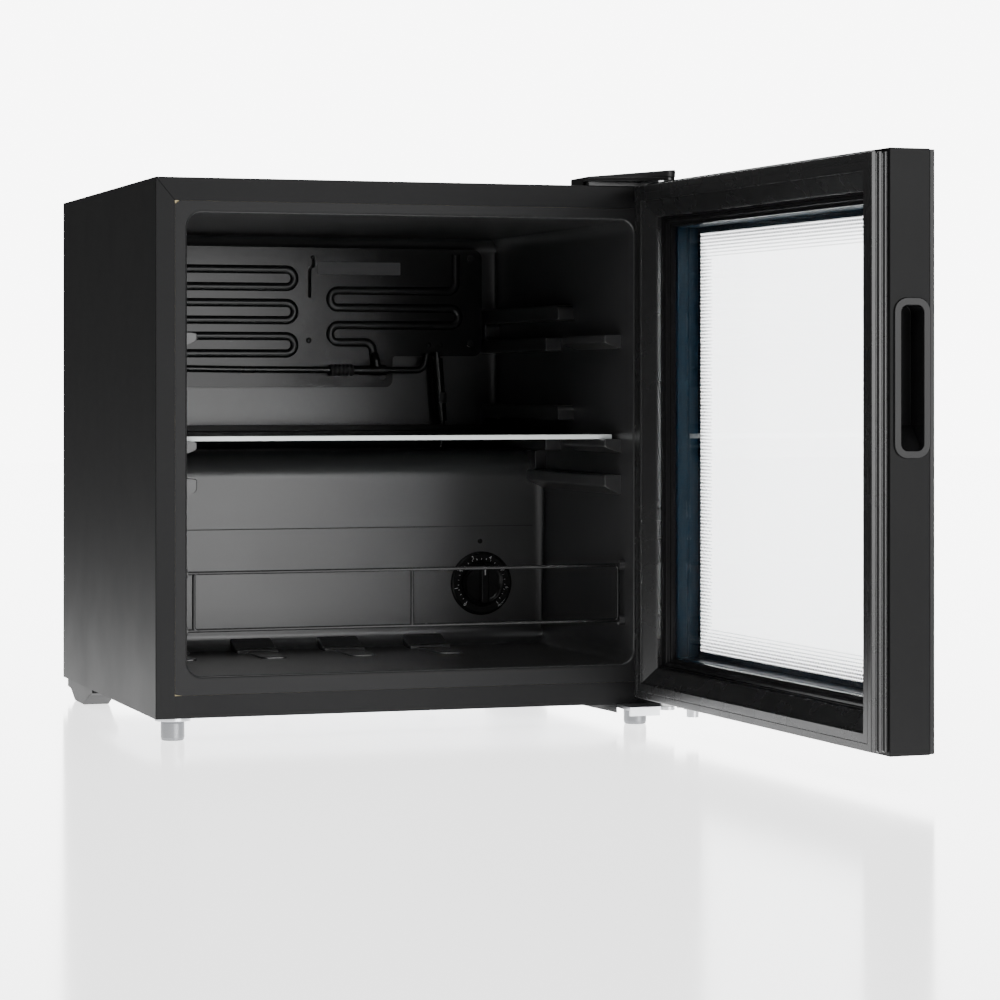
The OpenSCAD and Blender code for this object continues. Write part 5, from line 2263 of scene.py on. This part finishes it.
@dataclass
class Door:
    """The hung door: frame, gasket, bead, two panes and the grip."""

    half_w: float = 220.0
    low: float = 24.0
    high: float = 460.0
    face: float = -214.0
    depth: float = 32.4
    pane: float = 4.0
    pane_depth: float = 9.4
    frit_in: float = 43.2
    band_in: float = 0.9
    ink: float = 0.04
    ink_sunk: float = 0.06
    seal_in: float = 3.0
    seal_h: float = 13.4
    bead_in: float = 31.05
    bead_back: float = 9.35
    spacer_in: float = 32.5
    spacer_out: float = 38.5
    grip_z: float = 295.0
    grip_half: float = 8.9

    def ring(self, section: Sequence[Point2]) -> Form:
        """A mitred ring of the door, hung.

        Args:
            section: Distance in from the door's edge and depth from its inner face.

        Returns:
            The form.
        """
        places = [(u, self.face - d) for u, d in section]
        form = Form().frame_ring(
            places, Vector((-self.half_w, 0, self.low)), Vector((self.half_w, 0, self.high)))
        return form.turn(hung())

    def gasket(self) -> None:
        """Makes the gasket: a pleated outer side, a flat band and a slanted lip."""
        u, h = self.seal_in, self.seal_h
        section = [
            (u, 0), (u, 2.4), (u + 2.0, 3.6), (u, 4.8), (u, 7.2), (u + 2.0, 8.4), (u, 9.6),
            (u, h), (u + 5.6, h), (u + 6.0, h - 0.35), (u + 6.4, h), (u + 13.0, h),
            (u + 13.2, h - 1.7), (u + 14.2, h - 2.1), (u + 25.6, 4.6), (u + 26.5, 3.4),
            (u + 26.5, 0)]
        radii = [0, 0.5, 0.8, 0.7, 0.7, 0.8, 0.7, 1.2, 0.2, 0.2, 0.2, 0.7, 0.4, 0.6, 1.5, 0.8, 0]
        outline = rounded([(a, -b) for a, b in section], radii, 3)
        self.ring(outline).piece("door_seal", "door", "gasket_vinyl", Palette.GASKET,
                                 ("door_gasket",), 28.0)

    def bead(self) -> None:
        """Makes the stepped bead that holds the inner pane."""
        near, back = self.bead_in, self.bead_back
        section = [(near, 2.0), (34.4, 2.0), (35.0, 5.2), (37.8, 5.6), (38.4, back),
                   (near, back)]
        outline = rounded(section, [0.6, 1.3, 1.0, 1.2, 0.3, 0], 4)
        self.ring(outline).piece("pane_bead", "door", "black_plastic", Palette.SMOOTH_BLACK,
                                 ("glazing_bead",), 28.0)

    def spacer(self) -> None:
        """Makes the bar between the panes, with a groove along its middle."""
        near, far = self.pane_depth + self.pane + 0.02, self.depth - 0.02
        mid, u, v, edge = (near + far) / 2, self.spacer_in, self.spacer_out, 0.6
        section = [(u, near), (v - 0.5, near), (v, near + edge), (v, mid - edge), (v - 0.4, mid),
                   (v, mid + edge), (v, far - edge), (v - 0.5, far), (u, far)]
        self.ring(section).piece("pane_spacer", "door", "spacer_aluminium", Palette.SPACER,
                                 ("glass_spacer",), 28.0)

    def printing(self) -> None:
        """Makes the fired band and dots in the outer pane."""
        deep = self.depth + self.ink_sunk
        band = rect(self.band_in, deep, self.frit_in, deep + self.ink)
        self.ring(band).piece("pane_band", "door", "clear_glass", Palette.FRIT)
        width = 2 * (self.half_w - self.frit_in)
        height = self.high - self.low - 2 * self.frit_in
        mesh = DotField(width, height).mesh()
        place = Matrix.Translation((0, self.face - deep - self.ink / 2, (self.low + self.high) / 2))
        whole = Matrix.Scale(MM, 4) @ hung() @ place @ Matrix.Scale(1 / MM, 4)
        publish(moved(mesh, whole), "pane_dots", "door", (), 30.0)

    def grip(self) -> None:
        """Makes the recessed grip in the door's free edge."""
        form = Form.of_node("handle_insert").bevel(0.55, 3, 50)
        middle_z, middle_y = self.grip_z, self.face - self.depth / 2 - 1.5
        x, half = -self.half_w, self.grip_half
        ramp = [(x + 1.0, middle_z - 52.6), (x + 19.2, middle_z - 52.6),
                (x + 19.2, middle_z - 34.0), (x + 16.0, middle_z - 36.0)]
        slope = Form().prism(rounded(ramp, [0, 0, 0, 4], 4), Plane.XZ, middle_y - half,
                             middle_y + half)
        form.join(slope.turn(hung()))
        form.piece("grip_pocket", "door", "black_plastic", Palette.SMOOTH_BLACK,
                   ("handle_insert",), 30.0)

    def build(self) -> None:
        """Makes the pieces."""
        for node in ("door_hinge_stile", "door_handle_stile"):
            soften(node, 0.5, Palette.MOULDED, steps=2, angle=60.0)
        for node in ("door_top_rail", "door_bottom_rail"):
            soften(node, 0.0, Palette.MOULDED)
        soften("hinge_bushes", 0.2, Palette.NYLON)
        soften("door_stop_arm", 0.4, Palette.ZINC)
        self.gasket()
        self.bead()
        self.spacer()
        self.printing()
        self.grip()
        Form.of_node("inner_glass").bevel(0.4, 2, 60).piece(
            "inner_pane", "door", "clear_glass", Palette.PANE, ("inner_glass",))

        def rim(face: bmesh.types.BMFace) -> bool:
            """Whether a face is on the outer pane's edge, which is painted black as the shade of a glass
            edge in the dark.
            """
            return abs(face.normal.x) < 0.9

        # The outer pane's edge faces take a black finish as painted shade.
        Form.of_node("outer_glass").bevel(0.5, 2, 60).piece(
            "outer_pane", "door", "clear_glass", Palette.PANE, ("outer_glass",), 30.0,
            (Palette.SMOOTH_BLACK, rim))


# ---------- Studio ----------


@dataclass(frozen=True)
class Lamp:
    """A soft rectangular lamp: its place and size in metres and its power in watts."""

    name: str
    where: Point3
    size: tuple[float, float]
    power: float

    def hang(self, target: Point3) -> None:
        """Hangs the lamp so that it looks at a point.

        Args:
            target: The point.
        """
        light = bpy.data.lights.new(self.name, "AREA")
        light.shape = "RECTANGLE"
        light.size, light.size_y = self.size
        light.energy = self.power
        thing = stand(self.name, light)
        thing.location = self.where
        aim = Vector(target) - Vector(self.where)
        thing.rotation_euler = aim.to_track_quat("-Z", "Y").to_euler()


@dataclass
class Studio:
    """A pale floor, a dim room with one bright wall, soft lamps and the camera."""

    eye: Vector = field(default_factory=lambda: Vector((-0.771, -2.724, 0.290)))
    heading: float = math.radians(18.51)
    lens: float = 114.2
    shift: float = -0.115
    dim: float = 0.10
    backdrop: float = 8.0
    floor_glow: float = 2.1
    floor_dim: float = 0.02
    floor_half: float = 9000.0
    floor_depth: float = 20.0
    floor_gap: float = 0.2
    wall_edge: tuple[float, float] = (0.93, 0.975)
    pool_edge: tuple[float, float] = (0.17, 0.30)
    pool_near: float = 0.2
    sensor: float = 36.0
    target: Point3 = (0.05, 0.0, 0.22)
    lamps: tuple[Lamp, ...] = (
        Lamp("key", (-1.2, -2.4, 2.6), (1.6, 1.2), 50.0),
        Lamp("front", (1.3, -3.4, 0.62), (2.2, 1.2), 75.0),
        Lamp("top", (0.2, 0.2, 3.0), (2.4, 2.4), 60.0),
    )

    def floor(self) -> None:
        """Makes the floor, which glows in a wedge ahead of the camera's place."""
        half = self.floor_half
        outline = rounded(rect(-half, -half, half, half), half / 3, 8)
        form = Form().prism(outline, Plane.XY, -self.floor_depth, -self.floor_gap).scale(MM)
        mesh = bpy.data.meshes.new("studio_floor")
        form.bm.to_mesh(mesh)
        material = bpy.data.materials.new("studio_floor")
        material.use_nodes = True
        graph = Graph(material.node_tree)
        shade = material.node_tree.nodes["Principled BSDF"]
        for socket, value in (("Base Color", (0.9, 0.9, 0.9, 1.0)), ("Roughness", 0.12),
                              ("Specular IOR Level", 0.3),
                              ("Emission Color", (1.0, 1.0, 1.0, 1.0))):
            shade.inputs[socket].default_value = value
        x, y, _ = graph.split(graph.add("ShaderNodeTexCoord", out="Object"))
        x, y = x - self.eye.x, y - self.eye.y
        ahead = x * math.sin(self.heading) + y * math.cos(self.heading)
        aside = abs(x * math.cos(self.heading) - y * math.sin(self.heading))
        pool = graph.add(
            "ShaderNodeMapRange", {"interpolation_type": "SMOOTHSTEP"},
            {"Value": aside / ahead.high(self.pool_near), "From Min": self.pool_edge[0],
             "From Max": self.pool_edge[1], "To Min": self.floor_glow,
             "To Max": self.floor_dim}, out="Result")
        material.node_tree.links.new(pool.socket, shade.inputs["Emission Strength"])
        mesh.materials.append(material)
        thing = stand("studio_floor", mesh)

    def sky(self) -> None:
        """Makes a dim room with one bright wall behind the cabinet."""
        sky = bpy.data.worlds.new("studio_sky")
        sky.use_nodes = True
        nodes, links = sky.node_tree.nodes, sky.node_tree.links
        shade = nodes["Background"]
        where = nodes.new("ShaderNodeTexCoord")
        along = nodes.new("ShaderNodeVectorMath")
        along.operation = "DOT_PRODUCT"
        along.inputs[1].default_value = (math.sin(self.heading), math.cos(self.heading), 0.0)
        ramp = nodes.new("ShaderNodeMapRange")
        ramp.interpolation_type = "SMOOTHSTEP"
        for socket, value in (("From Min", self.wall_edge[0]), ("From Max", self.wall_edge[1]),
                              ("To Min", self.dim), ("To Max", self.backdrop)):
            ramp.inputs[socket].default_value = value
        links.new(where.outputs["Generated"], along.inputs[0])
        links.new(along.outputs["Value"], ramp.inputs["Value"])
        links.new(ramp.outputs["Result"], shade.inputs["Strength"])
        shade.inputs["Color"].default_value = (1.0, 1.0, 1.0, 1.0)
        bpy.context.scene.world = sky

    def build(self) -> None:
        """Makes the floor, the sky, the lamps and the camera."""
        self.floor()
        self.sky()
        for lamp in self.lamps:
            lamp.hang(self.target)
        view = bpy.data.cameras.new("camera")
        view.lens = self.lens
        view.sensor_width = self.sensor
        view.shift_y = self.shift
        thing = stand("camera", view)
        thing.location = self.eye
        aim = Vector((math.sin(self.heading), math.cos(self.heading), 0.0))
        thing.rotation_euler = aim.to_track_quat("-Z", "Y").to_euler()
        bpy.context.scene.camera = thing


def main() -> None:
    """Builds the cooler piece by piece, then the studio."""
    logging.basicConfig(level=logging.INFO, format="%(name)s %(message)s")
    for part in (Cabinet(), Liner(), Evaporator(), Thermostat(), Shelf(), Feet(), Cooling(),
                 Hinges(), Door(), Studio()):
        LOG.info("building %s", type(part).__name__)
        part.build()


if __name__ == "__main__":
    main()
